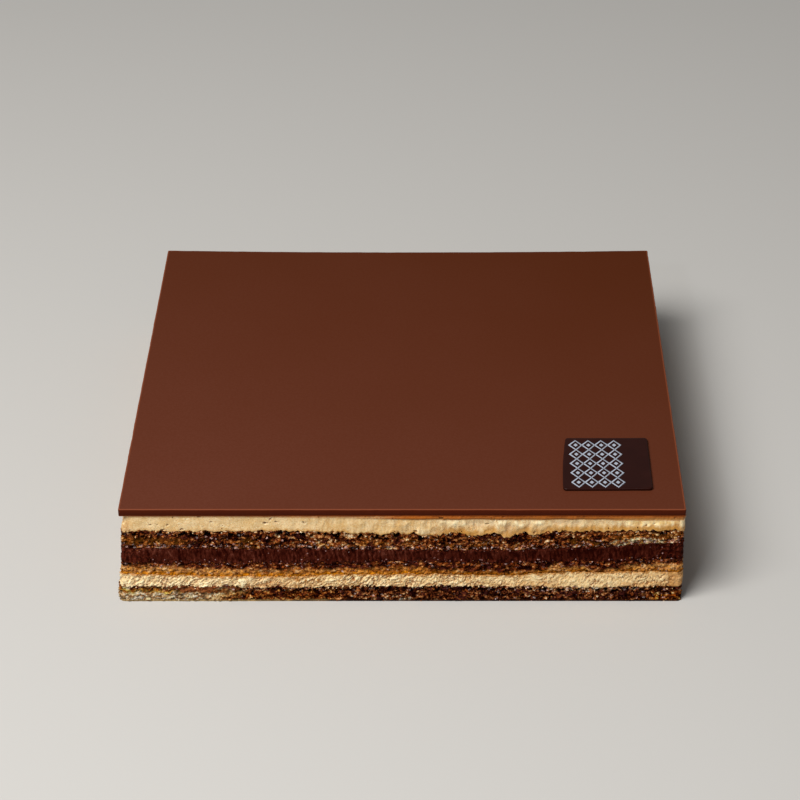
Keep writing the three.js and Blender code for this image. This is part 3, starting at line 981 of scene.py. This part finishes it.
rim = dragged.product(put["lip"], dragged.weigh((dragged.cloud(drag, 5.0, detail=2), 0.3), start=0.85))
rim = dragged.product(rim, dragged.ease(where, -45.0, 15.0, 0.5, 1.0))
rim = dragged.plus(rim, dragged.trend(x, -0.1, (8.0, 14.0, 0.05), (56.0, 62.0, 0.2)))
pressed = dragged.ease(dragged.less(down, rim), 0.12, -0.12)
lip = dragged.ease(x, -48.0, -38.0, 0.0, dragged.ease(where, -20.0, 2.0, 0.4, 1.0))
lip = dragged.product(pressed, lip)
corner = dragged.ease(dragged.from_middle(x, y), 76.0, 78.5)
lumps = dragged.cloud(fold, 2.5, detail=1.3, squash=(1.0, 0.55, 1.0))
# The valleys between the folds are painted darker: painted shade.
valley_shade = dragged.product(folded, dragged.ease(x, 36.0, 56.0, 1.0, 0.5))
valley_shade = dragged.product(dragged.ease(lumps, 0.5, 0.36), valley_shade)
thin_streak = dragged.ease(dragged.cloud(drag, 1.3, detail=2), 0.5, 0.68)
streak = dragged.highest(thin_streak, dragged.ease(dragged.cloud(drag, 3.2, detail=1), 0.5, 0.64))
streak = dragged.product(streak, dragged.ease(where, -46.0, -20.0, 0.12, 1.0))
swell = dragged.product(dragged.less(lumps, 0.5), dragged.ease(where, -30.0, 26.0, 0.2, 1.0))
swell = dragged.product(swell, dragged.ease(down, 1.4, 2.6, 0.35, 1.0))
swell = dragged.product(swell, dragged.ease(x, 36.0, 56.0, 1.0, 0.55))
worn = dragged.product(dragged.ease(down, 4.4, 0.3), dragged.ease(x, 0.0, -20.0))
relief = dragged.weigh(
    (dragged.cloud(at, 7.0, detail=1), 0.5),
    (dragged.cloud(drag, 1.1, detail=2), dragged.ease(where, -46.0, -20.0, 0.1, 0.35)),
    (dragged.cloud(at, 2.2, detail=2), 0.25),
    (swell, put["swell"]),
    (dragged.cloud(at, 0.6, detail=2), 0.08),
    (pit_and_shade, -0.8),
    (lip, 0.16),
    (dragged.product(corner, worn), -1.0),
    (dragged.product(corner, dragged.cloud(at, 0.8, detail=2)), 0.35),
    (corner, dragged.ease(x, 0.0, 20.0, 0.0, -0.25)),
    start=-0.46,
)
geometry = store(dragged, put["Geometry"], "lip", lip)
geometry = store(dragged, geometry, "streak", streak)
# Darker in patches towards the upright corners.
corner_darkening = dragged.product(corner, dragged.ease(dragged.cloud(at, 0.7, detail=3), 0.42, 0.6, 0.0, 0.45))
# Thin curved creases that are only painted dark and not carved: painted shade.
crease_and_shade = dragged.ease(dragged.step("ABSOLUTE", dragged.less(lumps, 0.47)), 0.016, 0.0)
crease_and_shade = dragged.product(crease_and_shade, dragged.band(x, 6.0, 13.0, 27.0, 36.0))
# The nicks are painted darker too: painted shade in them.
dark = dragged.weigh((valley_shade, 0.4), (crease_and_shade, 0.7), start=dragged.product(pit_and_shade, 1.25))
# Darker in a band just left of the right end.
end_darkening = dragged.product(dragged.ease(x, 76.0, 76.8), dragged.ease(x, 78.5, 78.1, 0.0, 0.55))
geometry = store(dragged, geometry, "pit_and_shade", dragged.highest(dark, dragged.highest(corner_darkening, end_darkening)))
# The tops of the folds are painted paler: painted highlight.
painted_brightening = dragged.product(dragged.ease(lumps, 0.54, 0.68), folded)
# A pale rim round each nick: painted highlight.
under = dragged.product(dragged.ease(far, 0.4, 0.3), nicks)
# Spots near the right end painted nearly white: painted highlight.
painted_shine = dragged.band(x, 55.0, 66.0, 75.5, 78.0)
painted_shine = dragged.product(painted_shine, dragged.ease(dragged.cloud(drag, 1.7, detail=1), 0.42, 0.56))
painted_shine = dragged.product(painted_shine, dragged.band(down, 1.2, 1.8, 2.8, 4.2))
# A paler band near the top of the folds: painted highlight.
pale = dragged.trend(x, 0.1, (2.0, 12.0, 0.36), (26.0, 32.0, -0.16), (54.0, 60.0, -0.08))
# All of these are painted highlights, and so is the pale rim of the rounded right corner.
painted_highlight = dragged.weigh(
    (under, 0.45),
    (painted_shine, 0.95),
    (dragged.ease(x, 78.2, 78.6), 0.9),
    (folded, dragged.ease(down, 4.0, 2.8, 0.08, pale)),
    start=dragged.product(painted_brightening, 0.8),
)
geometry = store(dragged, geometry, "painted_highlight", painted_highlight)
end_tree(dragged, push_out(dragged, geometry, relief), put["material"])


def upper_syrup(w, at):
    """The amber lip under the glaze, painted brighter at its top and its foot as painted light against the shade
    there, a brown foot on the sponge, and streaks that the knife drew.
    """
    x, down = w.parts(at)[0], w.carried("down")
    lip = w.carried("lip")
    amber = w.tint(w.cloud(at, 1.2, detail=3), colour(106, 60, 0), colour(128, 74, 6))
    amber = w.tint(w.ease(x, 58.0, 64.0), amber, colour(150, 102, 44))
    # The top of the lip, in the shadow of the glaze, is painted a brighter orange: painted light.
    painted_brightening = w.product(w.ease(down, 0.85, 0.5), w.ease(x, 4.0, 30.0, 0.95, 0.75))
    amber = w.tint(painted_brightening, amber, colour(172, 88, 0))
    line = w.product(w.ease(down, 0.75, 0.45), w.trend(x, 0.36, (-48.0, -40.0, 0.24)))
    lip = w.highest(w.product(lip, 0.97), line)
    edge = w.uneven(w.carried("up"), at, 0.9, 2.0, 1.0, detail=3)
    foot = w.ease(edge, 1.0, 0.1, 0.0, w.trend(x, 0.42, (-50.0, -35.0, 0.2)))
    rise = w.trend(x, 2.6, (8.0, 12.0, 0.3), (26.0, 31.0, 0.5), (42.0, 47.0, -0.8))
    wide_foot = w.trend(x, 0.0, (8.0, 14.0, 0.74), (26.0, 31.0, -0.08), (42.0, 47.0, 0.12))
    wide_foot = w.ease(edge, rise, 0.7, 0.0, wide_foot)
    foot = w.highest(foot, wide_foot, w.product(w.carried("streak"), 0.24))
    warm_end = w.ease(x, 57.0, 65.0)
    # The lowest part of the lip is painted a paler caramel: painted light in the shade under the lip.
    amber = w.tint(w.product(w.ease(down, 0.95, 1.25), w.ease(x, -8.0, 2.0)), amber, colour(206, 142, 80))
    brown, gold = colour(186, 124, 12), colour(255, 196, 50)
    stain = w.tint(w.ease(foot, 0.1, 0.35), w.tint(warm_end, brown, gold), brown)
    syrup = w.tint(w.ease(lip, 0.0, 0.3), stain, amber)
    foot = w.highest(foot, w.product(warm_end, 0.24))
    return w.highest(lip, foot), syrup


upper_cream = cut_slab("buttercream_upper_dragged", upper_sponge_top, glaze_seam, 26)
dragged_body = colour(230, 200, 150), colour(218, 182, 125)
run_tree(upper_cream, dragged, material=cream_finish("dragged buttercream", upper_syrup, dragged_body))
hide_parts("buttercream_upper")
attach(upper_cream, "root")

# ==== Loose crumbs ====
# Crumbs of sponge that the knife tore off and left on the cut sides. Most lie on the sponge itself and along the
# seams, and they stick to the wet crumb and the cream.

# Densities are in bits on each square mm, all over and more near the seams, and sizes in mm.
loose, put = new_tree(
    "loose bits", density=0.1, top_density=0.0, foot_density=0.0, size=0.25, flatness=0.7, near=1.2, seed=1.0
)
at = loose.place()
on_wall = loose.step("GREATER_THAN", loose.vector_length(loose.carried("outward", vector=True)), 0.5)
thick = loose.weigh(
    (loose.ease(loose.carried("down"), put["near"], 0.2), put["top_density"]),
    (loose.ease(loose.carried("up"), put["near"], 0.2), put["foot_density"]),
    start=put["density"],
)
clumps = loose.ease(loose.cloud(at, 4.0, detail=2), 0.4, 0.62, 0.25, 1.75)
thick = loose.product(loose.product(thick, on_wall), loose.product(clumps, 1 / MM**2))
spots = loose.add(
    "GeometryNodeDistributePointsOnFaces",
    {"Mesh": put["Geometry"], "Density": thick, "Seed": put["seed"]},
    distribute_method="RANDOM",
).outputs[0]
ball = loose.add("GeometryNodeMeshIcoSphere", {"Radius": 1.0, "Subdivisions": 1}).outputs[0]
girth = loose.draw((0.55, 0.55, 0.0), (1.0, 1.0, 0.0), 3)
girth = loose.vector("ADD", girth, loose.join(0.0, 0.0, put["flatness"]))
luck = loose.draw(0.0, 1.0, 4)
bulk = loose.weigh((loose.product(luck, luck), 0.75), start=0.45)
girth = loose.vector("SCALE", girth, Scale=loose.product(loose.product(bulk, put["size"]), MM))
placed = loose.add(
    "GeometryNodeInstanceOnPoints",
    {"Points": spots, "Instance": ball, "Rotation": loose.draw((0, 0, 0), (6.3, 6.3, 6.3), 5), "Scale": girth},
).outputs[0]
marked = store(loose, placed, "tone", loose.draw(0.0, 1.0, 6), domain="INSTANCE")
real = loose.add("GeometryNodeRealizeInstances", {0: marked}).outputs[0]
dent = loose.eddy(loose.place(), 0.3, detail=1)
dent = loose.vector("SCALE", dent, Scale=loose.product(put["size"], 0.9 * MM))
dented = loose.add("GeometryNodeSetPosition", {"Geometry": real, "Offset": dent}).outputs[0]
end_tree(loose, dented, put["material"])


def bits_on(name, hosts, **values):
    """Scatters loose bits over the cut sides of these layers, as one new piece."""
    copies = [new_piece(name, host.data.copy()) for host in hosts]
    with bpy.context.temp_override(active_object=copies[0], selected_editable_objects=copies):
        bpy.ops.object.join()
    run_tree(copies[0], loose, **values)
    return copies[0]


def bits_finish(name, dark, pale, roughness, gloss):
    material, w, at = new_finish(name)
    shade = w.weigh((w.carried("tone"), 0.8), (w.cloud(at, 0.3, detail=2), 0.7), start=-0.25)
    end_finish(w, w.tint(w.clamped(shade), dark, pale), roughness, gloss)
    return material


crumb_finish = bits_finish("loose crumb", colour(54, 18, 6), colour(156, 92, 38), 0.6, 0.03)
sponge_crumbs = bits_on("crumbs_on_sponge", [lower_sponge, middle_sponge, upper_sponge],
                        density=0.16, top_density=0.12, size=0.34, material=crumb_finish)
seam_crumbs = bits_on("crumbs_on_cream", [lower_cream, upper_cream, ganache], density=0.006, top_density=0.12,
                      foot_density=0.2, size=0.3, seed=2.0, material=crumb_finish)
for crumbs in (sponge_crumbs, seam_crumbs):
    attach(crumbs, "root")

# ==== Smears of cream ====
# Flecks of buttercream that the knife carried a little way into the lower and the upper sponge, and wiped off on
# the crumb.

fleck_finish = bits_finish("cream fleck", colour(214, 172, 112), colour(250, 232, 196), 0.5, 0.1)
cream_flecks = bits_on("cream_flecks_on_sponge", [lower_sponge, upper_sponge], density=0.01, top_density=0.3,
                       size=0.3, seed=3.0, material=fleck_finish)
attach(cream_flecks, "root")

# ==== Beads of syrup ====
# Coffee syrup that the cut pressed out of the sponge. It stands in tiny round drops on the crumb and on the
# ganache.

syrup_finish = bits_finish("coffee syrup", colour(60, 18, 4), colour(120, 52, 20), 0.12, 0.5)
syrup_beads = bits_on("syrup_beads", [upper_sponge, middle_sponge, ganache], density=0.05, top_density=0.12,
                      foot_density=0.12, size=0.2, flatness=0.9, seed=4.0, material=syrup_finish)
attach(syrup_beads, "root")

# ==== Glaze ====
# Chocolate glaze, poured over the cream, levelled and set to a satin sheet, then cut with the cake. The hot knife
# drew up a thin burr along every edge, and a painted highlight lightens its top edge.

GLAZE_CORNER = 0.35 * MM
GLAZE_THICK = 2.3  # in mm, without the burr
GLAZE_COLUMN = 0.5 * MM  # width of one column of its edge
glaze_low, glaze_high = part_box("chocolate_glaze")[0][2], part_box("chocolate_glaze")[1][2]
# (how far in from the cut, how high) of each ring, from the middle of the underside to the middle of the top
GLAZE_RINGS = [
    (5.0, 0.0), (0.3, 0.0), (0.1, 0.03), (0.02, 0.15), (0.0, 0.6), (0.0, 1.2), (0.0, 1.75), (0.0, 2.15),
    (0.04, 2.24), (0.12, 2.31), (0.24, 2.34), (0.36, 2.33), (0.5, 2.31), (0.7, 2.3), (1.2, 2.3), (5.0, 2.3),
]


def closed_rings(name, points, count, rings):
    """A smooth closed piece out of rings of count points. Its last two points close the first and the last ring."""
    here, onward, walls = ring_faces(count, rings)
    last = (rings - 1) * count
    fans = np.concatenate([
        np.stack([onward, here, np.full(count, len(points) - 2)], axis=-1),
        np.stack([last + here, last + onward, np.full(count, len(points) - 1)], axis=-1),
    ])
    mesh = new_mesh(name, points, walls + fans.tolist())
    mesh.shade_smooth()
    return new_piece(name, mesh)


def glaze_sheet():
    shares, outward = square_rim([GLAZE_COLUMN] * 4, GLAZE_CORNER)
    count = len(shares)
    knife = on_rim(shares, outward, np.full(count, glaze_half), GLAZE_CORNER) / MM

    def waves(length, seed):
        return np.array([noise.noise(Vector((x / length, y / length, seed))) for x, y in knife])

    sway, burr_and_highlight = waves(9, 3) + 0.5 * waves(2, 8), waves(4, 17)
    points = []
    for inset, height in GLAZE_RINGS:
        rough = np.exp(-inset / 0.8)
        half = glaze_half - (inset + 0.1 * rough * (0.5 + sway)) * MM
        ridge = 0.05 * burr_and_highlight * np.exp(-((inset - 0.25) / 0.25) ** 2) if height > 2.2 else 0
        z = glaze_low + (height + ridge) * MM
        points.append(np.column_stack([on_rim(shares, outward, half, GLAZE_CORNER), np.full(count, 1.0) * z]))
    points = np.concatenate(points + [np.array([[0, 0, glaze_low], [0, 0, glaze_low + GLAZE_THICK * MM]])])
    return closed_rings("chocolate_glaze_sheet", points, count, len(GLAZE_RINGS))


def glaze_finish():
    material, w, at = new_finish("satin glaze")
    x, y, z = w.parts(at)
    grain = w.cloud(at, 0.7, detail=3)
    # Lighter towards the front left and darker towards the back right: painted light from the lamp, with patchy
    # tone over it.
    tone_and_painted_light = w.weigh((w.cloud(at, 40.0, detail=3), 0.3), (x, -0.35 / 160), (y, -0.65 / 160), start=0.35)
    skin = w.tint(w.clamped(tone_and_painted_light), colour(81, 35, 9), colour(97, 51, 36))
    skin = w.tint(w.ease(grain, 0.35, 0.65, 0.0, 0.25), skin, colour(84, 37, 18))
    reach = w.highest(w.step("ABSOLUTE", x), w.step("ABSOLUTE", y))
    # A lighter line along the top edge: painted highlight on the burr.
    burr_and_highlight = w.ease(reach, glaze_half / MM - 0.6, glaze_half / MM - 0.35)
    skin = w.tint(w.product(burr_and_highlight, 0.8), skin, colour(130, 69, 43))
    cut = w.ease(z, glaze_high / MM - 0.08, glaze_high / MM - 0.25)
    side = w.tint(w.ease(z, glaze_low / MM + 0.2, glaze_high / MM - 0.4), colour(60, 16, 0), colour(73, 22, 2))
    foot = w.ease(z, glaze_low / MM + 0.5, glaze_low / MM + 0.2, 0.0, w.ease(x, -50.0, -10.0, 0.5, 0.95))
    side = w.tint(foot, side, colour(150, 70, 6))
    tone = w.tint(cut, skin, side)
    end_finish(w, tone, w.ease(grain, 0.3, 0.7, 0.42, 0.5), gloss=0.07, bump=(0.08, 0.1, grain))
    return material


glaze = glaze_sheet()
glaze.data.materials.append(glaze_finish())
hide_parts("chocolate_glaze")
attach(glaze, "root")

# ==== Plaque ====
# A thin tile of dark chocolate, cast on a transfer sheet, cut with rounded corners and laid on the glaze by
# hand. Its left part carries a plain harlequin pattern of pale cocoa butter.

# All in mm, the corners counted from the middle.
PLAQUE_MIDDLE = (59.2, -56.5)
PLAQUE_CORNERS = [(12.0, -13.5), (12.2, 14.4), (-11.8, 14.4), (-13.5, -13.7)]
PLAQUE_ROUND = 1.0  # radius of its corners
PLAQUE_HALF = 12.5  # about half its width
PLAQUE_CURL = 0.12  # how far its right end stands up
CURL_ON_LEFT = 0.3  # and its left end, as a share of that
# (how far in from the edge, how high) of each ring of the tile's edge
PLAQUE_RINGS = [
    (0.25, 0.0), (0.08, 0.04), (0.0, 0.18), (0.0, 0.5), (0.05, 0.66), (0.16, 0.76), (0.35, 0.8), (0.9, 0.79),
]
plaque_low = glaze_low + GLAZE_THICK * MM


def on_plaque(x, y, z):
    """A place on the tile, counted in mm from its middle and its underside, as a place on the cake."""
    lift = PLAQUE_CURL * (x / PLAQUE_HALF) ** 2 * (1 if x > 0 else CURL_ON_LEFT)
    return (PLAQUE_MIDDLE[0] + x) * MM, (PLAQUE_MIDDLE[1] + y) * MM, plaque_low + (z + lift) * MM


def plaque_outline():
    """(centre of rounding, outward direction) of the points round the tile, from its front right corner."""
    corners = [Vector(corner) for corner in PLAQUE_CORNERS]
    sides = []
    for k in range(4):
        along = (corners[k] - corners[k - 1]).normalized()
        sides.append(Vector((along.y, -along.x)))
    centres = []
    for k in range(4):
        before, after = sides[k], sides[(k + 1) % 4]
        centres.append(corners[k] - (before + after) * (PLAQUE_ROUND / (1 + before.dot(after))))
    outline = []
    for k in range(4):
        before, after = sides[k], sides[(k + 1) % 4]
        outline += [(centres[k], before.slerp(after, step / 8)) for step in range(9)]
        outline += [(centres[k].lerp(centres[(k + 1) % 4], step / 24), after) for step in range(1, 24)]
    return outline


def plaque_tile():
    outline = plaque_outline()
    points = []
    for inset, height in PLAQUE_RINGS:
        for centre, out in outline:
            spot = centre + out * (PLAQUE_ROUND - inset)
            bow = 0.35 * max(0, 1 - (spot.y / 13) ** 2) if out.x < -0.9 else 0
            spot += out * (bow + 0.05 * noise.noise(Vector((spot.x / 3, spot.y / 3, 2))))
            points.append(on_plaque(spot.x, spot.y, height))
    last_inset, last_height = PLAQUE_RINGS[-1]
    inner_shares = (0.8, 0.6, 0.4, 0.2)
    for share in inner_shares:
        for centre, out in outline:
            spot = (centre + out * (PLAQUE_ROUND - last_inset)) * share
            points.append(on_plaque(spot.x, spot.y, last_height))
    points += [on_plaque(0, 0, 0), on_plaque(0, 0, last_height)]
    rings = len(PLAQUE_RINGS) + len(inner_shares)
    return closed_rings("chocolate_plaque_tile", points, len(outline), rings)


def plaque_finish():
    material, w, at = new_finish("dark couverture")
    broad = w.cloud(at, 12.0, detail=2)
    grain = w.cloud(at, 0.5, detail=3)
    tone = w.tint(w.ease(broad, 0.35, 0.65), colour(43, 14, 9), colour(37, 10, 6))
    end_finish(w, tone, w.ease(broad, 0.3, 0.7, 0.3, 0.38), gloss=0.16, bump=(0.06, 0.1, grain))
    return material


plaque = plaque_tile()
plaque.data.materials.append(plaque_finish())
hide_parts("chocolate_plaque")
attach(plaque, "root")

# ==== Print on the plaque ====
# A harlequin lattice in pale cocoa butter on the left part of the tile: lozenges side by side, each with a small
# one in its middle. It came off the transfer sheet as a thin film.

PRINT_MIDDLE = -3.3  # how far right of the middle of the tile the middle of the print lies, in mm
PRINT_HEIGHT = 0.8  # how high it lies on the tile, in mm
STUD_RADIUS = 0.17  # of the small lozenges, as a share of the width of the large ones
STUD_STRETCH = 1.37  # and how much longer than wide they are

lattice, put = new_tree("harlequin lattice", columns=4.0, rows=5.0, width=3.75, length=5.1, stroke=0.6, film=0.05)
columns, rows, width, length = put["columns"], put["rows"], put["width"], put["length"]
grid = lattice.add(
    "GeometryNodeMeshGrid",
    {
        "Size X": lattice.product(lattice.less(columns, 1.0), width),
        "Size Y": lattice.product(lattice.less(rows, 1.0), length),
        "Vertices X": columns,
        "Vertices Y": rows,
    },
).outputs[0]
half_length = lattice.product(length, 0.5)
lozenge = lattice.add("GeometryNodeCurvePrimitiveQuadrilateral", mode="KITE")
for label, value in (("Width", width), ("Bottom Height", half_length), ("Top Height", half_length)):
    lattice.feed(lozenge.inputs[label], value)
nib = lattice.add("GeometryNodeCurvePrimitiveQuadrilateral", {"Width": put["stroke"], "Height": put["film"]})
frame_line = lattice.add(
    "GeometryNodeCurveToMesh", {"Curve": lozenge.outputs[0], "Profile Curve": nib.outputs[0]}
).outputs[0]
stud = lattice.add(
    "GeometryNodeMeshCylinder", {"Vertices": 4, "Radius": lattice.product(width, STUD_RADIUS), "Depth": put["film"]}
).outputs[0]
stud = lattice.add("GeometryNodeTransform", {"Geometry": stud, "Scale": (1.0, STUD_STRETCH, 1.0)}).outputs[0]
both = lattice.add("GeometryNodeJoinGeometry")
for shape in (frame_line, stud):
    lattice.tree.links.new(shape, both.inputs[0])
printed = lattice.add("GeometryNodeInstanceOnPoints", {"Points": grid, "Instance": both.outputs[0]}).outputs[0]
real = lattice.add("GeometryNodeRealizeInstances", {0: printed}).outputs[0]
x, y, z = lattice.parts(lattice.add("GeometryNodeInputPosition").outputs[0])
x = lattice.plus(x, PRINT_MIDDLE)
spread = lattice.product(lattice.less(lattice.cloud(lattice.join(x, y, 0.0), 0.6), 0.5), 0.12)
rise = lattice.product(lattice.product(x, x), PLAQUE_CURL / PLAQUE_HALF**2)
on_right = lattice.step("GREATER_THAN", x, 0.0)
rise = lattice.product(rise, lattice.weigh((on_right, 1 - CURL_ON_LEFT), start=CURL_ON_LEFT))
spot = lattice.join(lattice.plus(x, spread), lattice.plus(y, spread), lattice.plus(z, rise))
drawn = lattice.add("GeometryNodeSetPosition", {"Geometry": real, "Position": spot}).outputs[0]
laid = lattice.add(
    "GeometryNodeTransform",
    {
        "Geometry": drawn,
        "Translation": (PLAQUE_MIDDLE[0] * MM, PLAQUE_MIDDLE[1] * MM, plaque_low + PRINT_HEIGHT * MM),
        "Scale": (MM, MM, MM),
    },
).outputs[0]
end_tree(lattice, laid, put["material"])

cocoa_butter = bits_finish("cocoa butter", colour(166, 174, 188), colour(204, 212, 224), 0.4, 0.1)
print_film = new_piece("cocoa_butter_lattice", bpy.data.meshes.new("cocoa_butter_lattice"))
run_tree(print_film, lattice, material=cocoa_butter)
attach(print_film, "root")

# ==== The place where the cake stands ====
# A plain pale table top, a large soft light above the cake's front left corner, and a camera that looks down
# on the front.

bpy.ops.mesh.primitive_plane_add(size=6, location=(0, 0, 0))
table = bpy.context.object
table.name = "table_top"
surface = bpy.data.materials.new("pale table")
surface.use_nodes = True
shader = surface.node_tree.nodes["Principled BSDF"]
shader.inputs["Base Color"].default_value = (0.56, 0.55, 0.53, 1)
shader.inputs["Roughness"].default_value = 0.85
table.data.materials.append(surface)


def soft_light(name, place, size, tint, power):
    """A rectangular lamp that shines at the foot of the cake."""
    lamp = bpy.data.lights.new(name, "AREA")
    lamp.shape = "RECTANGLE"
    lamp.size, lamp.size_y = size
    lamp.color = tint
    lamp.energy = power
    holder = new_piece(name, lamp)
    holder.location = place
    holder.rotation_euler = (-Vector(place)).to_track_quat("-Z", "Y").to_euler()


soft_light("key_light", place=(-0.5, -0.55, 1.0), size=(0.7, 0.7), tint=(1.0, 0.98, 0.95), power=18)
soft_light("glint_light", place=(-0.35, -1.1, 0.75), size=(0.07, 0.07), tint=(0.86, 0.92, 1.0), power=1.2)

world = bpy.data.worlds.new("studio")
bpy.context.scene.world = world
world.use_nodes = True
background = world.node_tree.nodes["Background"]
background.inputs["Color"].default_value = (1.0, 0.98, 0.96, 1)
background.inputs["Strength"].default_value = 0.16

LOOKS_DOWN = 30.329  # degrees below level

lens = bpy.data.cameras.new("camera")
lens.sensor_width = 36
lens.lens = 118.507
lens.shift_x = -0.0475
camera = new_piece("camera", lens)
camera.location = (0.010106, -0.70352, 0.43152)
camera.rotation_euler = (math.radians(90 - LOOKS_DOWN), 0, 0)
bpy.context.scene.camera = camera
bpy.context.scene.view_settings.view_transform = "Standard"
